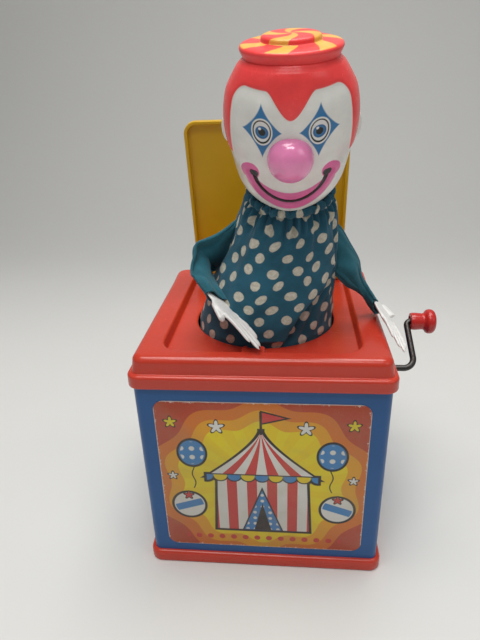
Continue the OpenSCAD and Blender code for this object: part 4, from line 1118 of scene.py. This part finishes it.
left_st = [
    ((-12.6, -14.4, 190.2), (3.6, 0.4, 9.6), 1.6),
    ((-17.3, -14.0, 188.7), (3.3, 0.0, 10.6), 1.6),
    ((-20.7, -14.2, 184.8), (2.0, -3.8, 11.7), 1.5),
    ((-25.3, -15.0, 182.1), (0.8, -7.0, 11.6), 1.4),
    ((-29.7, -16.2, 180.9), (-0.6, -7.8, 10.8), 1.2),
    ((-33.1, -18.8, 180.3), (-2.0, -6.8, 9.8), 0.9),
    ((-32.8, -23.5, 177.4), (-3.5, -4.0, 6.8), 1.0),
    ((-32.3, -28.8, 174.4), (-5.3, -1.2, 4.2), 1.2),
    ((-30.9, -32.2, 171.9), (-6.3, -0.2, 3.6), 1.4),
    ((-28.2, -36.3, 169.8), (-6.1, -0.3, 3.6), 1.6),
    ((-23.8, -40.8, 165.2), (-4.9, -1.8, 3.7), 1.9),
]
right_st = [
    ((34.5, -14.0, 187.0), (0.8, 0.4, 12.0), 1.7),
    ((39.5, -13.8, 184.0), (1.6, 1.2, 10.9), 2.6),
    ((43.4, -13.8, 177.9), (3.9, 2.2, 6.8), 3.2),
    ((47.6, -13.8, 171.4), (4.7, 2.8, 3.9), 3.0),
    ((50.4, -13.5, 166.2), (3.3, 2.0, 3.3), 2.3),
    ((54.2, -13.2, 161.7), (1.8, 0.2, 2.4), 1.5),
    ((58.4, -13.5, 156.7), (0.7, -1.5, 2.6), 1.3),
    ((61.2, -14.2, 152.6), (-0.2, -2.2, 3.8), 1.3),
    ((64.1, -15.0, 149.1), (-1.8, -2.5, 5.2), 1.5),
]
left_sleeve, ll = flat_tube("left_sleeve_cloth", left_st, seed=4)
right_sleeve, rl = flat_tube("right_sleeve_cloth", right_st, seed=9)


# ------------------------------------------------------------------ hands
def hand_mesh(name, wrist, d, nrm, mirror, thumb):
    """A thin moulded hand: a cupped palm, four fingers with grooves between them, and a thumb, blended into one skin."""
    bm = bmesh.new()

    def pod(a, b, ra, rb, ta, tb, bend=0.0):
        steps, n = 14, 20
        a, b = np.array(a, float), np.array(b, float)
        ax = (b - a) / np.linalg.norm(b - a)
        side = np.array((ax[1], -ax[0], 0.0))
        rings = []
        for s in np.linspace(0, 1, steps):
            e = math.sqrt(max(0.0, 1 - (2 * s - 1) ** 10))
            r, t = (ra + (rb - ra) * s) * e, (ta + (tb - ta) * s) * e
            c = a + (b - a) * s + np.array((0, 0, bend * math.sin(math.pi * s)))
            an = np.linspace(0, 2 * math.pi, n, endpoint=False)
            rings.append([bm.verts.new(c + max(r, 0.02) * math.cos(q) * side + np.array((0, 0, max(t, 0.02) * math.sin(q)))) for q in an])
        for p, q in zip(rings[:-1], rings[1:]):
            for k in range(n):
                j = (k + 1) % n
                bm.faces.new((p[k], p[j], q[j], q[k]))
        bm.faces.new(rings[0][::-1])
        bm.faces.new(rings[-1])

    pod((0, -5, 0), (0, 10, 0), 2.4, 5.8, 1.0, 1.3)
    pod((0, 3, 0), (0, 21, 0), 6.6, 7.0, 1.3, 1.1)
    for x0, x1, y1, r in ((-5.0, -5.6, 35.0, 1.75), (-1.7, -1.9, 40.2, 1.85), (1.7, 1.9, 38.6, 1.85), (4.9, 5.3, 33.4, 1.7)):
        pod((x0, 13, 0.1), (x1, y1, 0.0), r, r * 0.82, 1.2, 0.85, 0.5)
    pod(thumb[0], thumb[1], 2.7, 2.5, 1.5, 1.45, 0.0)
    me = bpy.data.meshes.new(name)
    bmesh.ops.recalc_face_normals(bm, faces=bm.faces)
    bm.to_mesh(me)
    bm.free()
    o = bpy.data.objects.new(name, me)
    bpy.context.scene.collection.objects.link(o)
    m = o.modifiers.new("skin", "REMESH")
    m.mode, m.voxel_size = "VOXEL", 0.34
    m = o.modifiers.new("soft", "SMOOTH")
    m.factor, m.iterations = 0.5, 3
    apply_mods(o)
    co = np.zeros(len(o.data.vertices) * 3)
    o.data.vertices.foreach_get("co", co)
    co = co.reshape(-1, 3)
    # knuckle lines and a soft cup to the palm
    co[:, 2] += 0.012 * (co[:, 0] ** 2) - 0.3
    top_side = co[:, 2] > 0
    for yk in (19.5, 27.5):
        co[:, 2] -= top_side * 0.22 * np.exp(-((co[:, 1] - yk - 0.06 * co[:, 0] ** 2 * -1.0) / 0.5) ** 2)
    y = np.array(d, float) / np.linalg.norm(d)
    x = np.cross(y, nrm)
    x /= np.linalg.norm(x)
    z = np.cross(x, y)
    if mirror:
        co[:, 0] *= -1
    world = np.array(wrist) + co[:, :1] * x + co[:, 1:2] * y + co[:, 2:] * z
    o.data.vertices.foreach_set("co", (world * MM).ravel())
    if mirror:
        o.data.flip_normals()
    o.data.materials.append(white_hand.m)
    o.data.polygons.foreach_set("use_smooth", [True] * len(o.data.polygons))
    o.data.update()
    return outward(o)


left_hand = hand_mesh("left_hand_white", (-26.2, -39.8, 166.6), (24.9, -19.3, -19.4), (0.655, 0.035, 0.755), True, ((-3.4, 5.0, -0.6), (-7.6, 17.2, -2.7)))
right_hand = hand_mesh("right_hand_white", (64.8, -13.6, 151.3), (8.5, -36.0, -10.9), (0.729, -0.034, 0.684), False, ((-4.0, -0.5, 0.2), (-8.6, 8.6, 1.1)))
for o, body, node, slot in ((left_sleeve, "left_arm", "left_sleeve", "suit_cloth"), (right_sleeve, "right_arm", "right_sleeve", "suit_cloth"), (left_hand, "left_arm", "left_hand", "face_vinyl"), (right_hand, "right_arm", "right_hand", "face_vinyl")):
    settle(o, body, (node,))
for o, ln in ((left_sleeve, ll), (right_sleeve, rl)):
    area = sum(p.area for p in o.data.polygons) / 2
    round(area / (ln * MM), 4)
    round(ln * MM, 4)
for o in (left_sleeve, left_hand):
    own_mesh(o)
for o in (right_sleeve, right_hand):
    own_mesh(o)

# ------------------------------------------------------------------ spring
turns, per = 11, 40
i = np.arange(turns * per + 1) / (turns * per)
s = np.array(SUIT)
zz = 10.8 + (199.5 - 10.8) * i
rr = 26 + (12.4 - 26) * i
path = np.c_[np.interp(zz, s[:, 0], s[:, 1]) + rr * np.cos(i * turns * 2 * math.pi), np.interp(zz, s[:, 0], s[:, 2]) + rr * np.sin(i * turns * 2 * math.pi), zz]
v, f = sweep(path, 1.0, 12)
coil = outward(obj_of("coil_spring", v, f, spring_steel))
settle(coil, "box", ("pop_spring",))
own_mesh(coil)

# ------------------------------------------------------------------ crank
def bend(pts, rad, step=0.8):
    """A path through corner points, each inner corner rounded."""
    pts = [np.array(q, float) for q in pts]
    out = [pts[0]]
    for a, b, c, r in zip(pts[:-2], pts[1:-1], pts[2:], rad):
        u, w = (a - b) / np.linalg.norm(a - b), (c - b) / np.linalg.norm(c - b)
        half = math.acos(float(u @ w)) / 2
        mid = (u + w) / np.linalg.norm(u + w)
        o, t = b + mid * r / math.sin(half), r / math.tan(half)
        p, q = b + u * t - o, b + w * t - o
        k = math.pi - 2 * half
        n = max(6, int(r * k / step))
        turn = [o + (math.sin((1 - i / n) * k) * p + math.sin(i / n * k) * q) / math.sin(k) for i in range(n + 1)]
        for x in turn:
            gap = x - out[-1]
            m = max(1, int(np.linalg.norm(gap) / 1.6))
            out += [out[-1] + gap * (j + 1) / m for j in range(m)]
    gap = pts[-1] - out[-1]
    m = max(1, int(np.linalg.norm(gap) / 1.6))
    start = out[-1]
    return np.array(out + [start + gap * (j + 1) / m for j in range(m)])


path = bend([(43.2, 0, 0), (94.0, 0, 0), (91.1, 0, 32.4), (108.0, 0, 32.4)], (6.5, 2.9))
v, f = sweep(on_crank(path), 1.98, 24)
wire = outward(obj_of("crank_wire", v, f, dark, sharp=60))
settle(wire, "crank", ("crank_rod",))

prof = fair([(4.9, 0.0, 0), (5.4, 0.3, 0), (5.55, 1.0, 0), (5.5, 5.6, 0), (5.35, 7.2, 0), (5.4, 8.2, 0), (6.0, 9.1, 0), (7.2, 9.9, 0), (7.85, 11.0, 0), (8.0, 12.3, 0), (7.8, 13.7, 0), (6.9, 15.0, 0), (5.0, 15.9, 0), (2.4, 16.35, 0), (0.3, 16.45, 0)], 64)
v, f = lathe([(2.05, 13.8), (2.05, 1.9), (3.3, 1.2), (3.45, 0.2), (3.7, 0.0)] + [(r, z) for r, z, _ in prof] + [(0, 16.47)], 72)
v = on_crank(np.c_[v[:, 2] + 93.45, v[:, 1], v[:, 0] + 32.4])
grip = outward(obj_of("crank_grip", v, f, knob_red, sharp=55))
settle(grip, "knob", ("crank_knob",))

# ------------------------------------------------------------------ floor, light, camera
def stage_floor():
    m = Mat("pale_floor")
    _, y, _ = m.split(m.mm())
    c = m.mix(m.noise(0.004, 3), (0.67, 0.67, 0.655), (0.73, 0.73, 0.715))
    # painted shade: the floor and the backdrop behind it are coloured darker towards the back
    c = m.mix(m.ramp(y, 60.0, 700.0), c, (0.53, 0.53, 0.52))
    m.set(Base_Color=c, Roughness=0.8, Specular_IOR_Level=0.2)
    m.put(m.b.inputs["Normal"], m.bump(m.noise(0.02, 3), 0.004, 0.15))
    prof = [(-2600, 0)] + [(y, 0) for y in np.linspace(-900, 500, 30)] + [(500 + 420 * math.sin(a), 420 - 420 * math.cos(a)) for a in np.linspace(0, math.pi / 2, 24)[1:]] + [(920, z) for z in np.linspace(420, 2200, 6)[1:]]
    loops = [np.array([(x, y, z) for y, z in prof]) for x in np.linspace(-2400, 2400, 17)]
    v, f = loft(loops, closed=False)
    o = obj_of("floor", v, f, m)


stage_floor()


def area(name, loc, aim, size, power, col=(1, 1, 1)):
    l = bpy.data.lights.new(name, "AREA")
    l.shape, l.size, l.size_y, l.energy, l.color = "RECTANGLE", size[0], size[1], power, col
    o = bpy.data.objects.new(name, l)
    o.location = loc
    o.rotation_euler = (Vector(aim) - Vector(loc)).to_track_quat("-Z", "Y").to_euler()
    bpy.context.scene.collection.objects.link(o)


area("overhead", (-0.02, 0.02, 1.30), (0.01, -0.02, 0.12), (1.1, 0.6), 13.8, (1.0, 0.985, 0.955))
area("front_top", (0.0, -0.60, 1.15), (0.01, -0.05, 0.16), (0.55, 0.16), 3.0, (1.0, 0.99, 0.97))
area("right_fill", (1.1, -0.7, 1.0), (0.03, 0, 0.18), (0.7, 0.7), 1.9, (1.0, 0.995, 0.98))
area("left_fill", (-1.0, -1.1, 1.0), (0, 0, 0.15), (1.0, 1.0), 0.6, (0.97, 0.985, 1.0))
world = bpy.data.worlds.new("soft")
bpy.context.scene.world = world
world.use_nodes = True
bg = world.node_tree.nodes.get("Background") or world.node_tree.nodes.new("ShaderNodeBackground")
bg.inputs[0].default_value = (0.96, 0.98, 1.0, 1.0)
bg.inputs[1].default_value = 0.15
bpy.context.scene.view_settings.view_transform = "Standard"

cam = bpy.data.cameras.new("camera")
cam.sensor_fit, cam.sensor_width, cam.lens = "AUTO", 36.0, 517.82 / 640 * 36
cam.clip_start, cam.clip_end = 0.01, 20
co = bpy.data.objects.new("camera", cam)
right, down, fwd = (0.99542826, 0.08898964, -0.03469046), (0.006953, -0.429751, -0.902921), (-0.09525885, 0.8985518, -0.42840451)
co.matrix_world = Matrix(((right[0], -down[0], -fwd[0], 0.01481), (right[1], -down[1], -fwd[1], -0.29122), (right[2], -down[2], -fwd[2], 0.27178), (0, 0, 0, 1)))
bpy.context.scene.collection.objects.link(co)
bpy.context.scene.camera = co
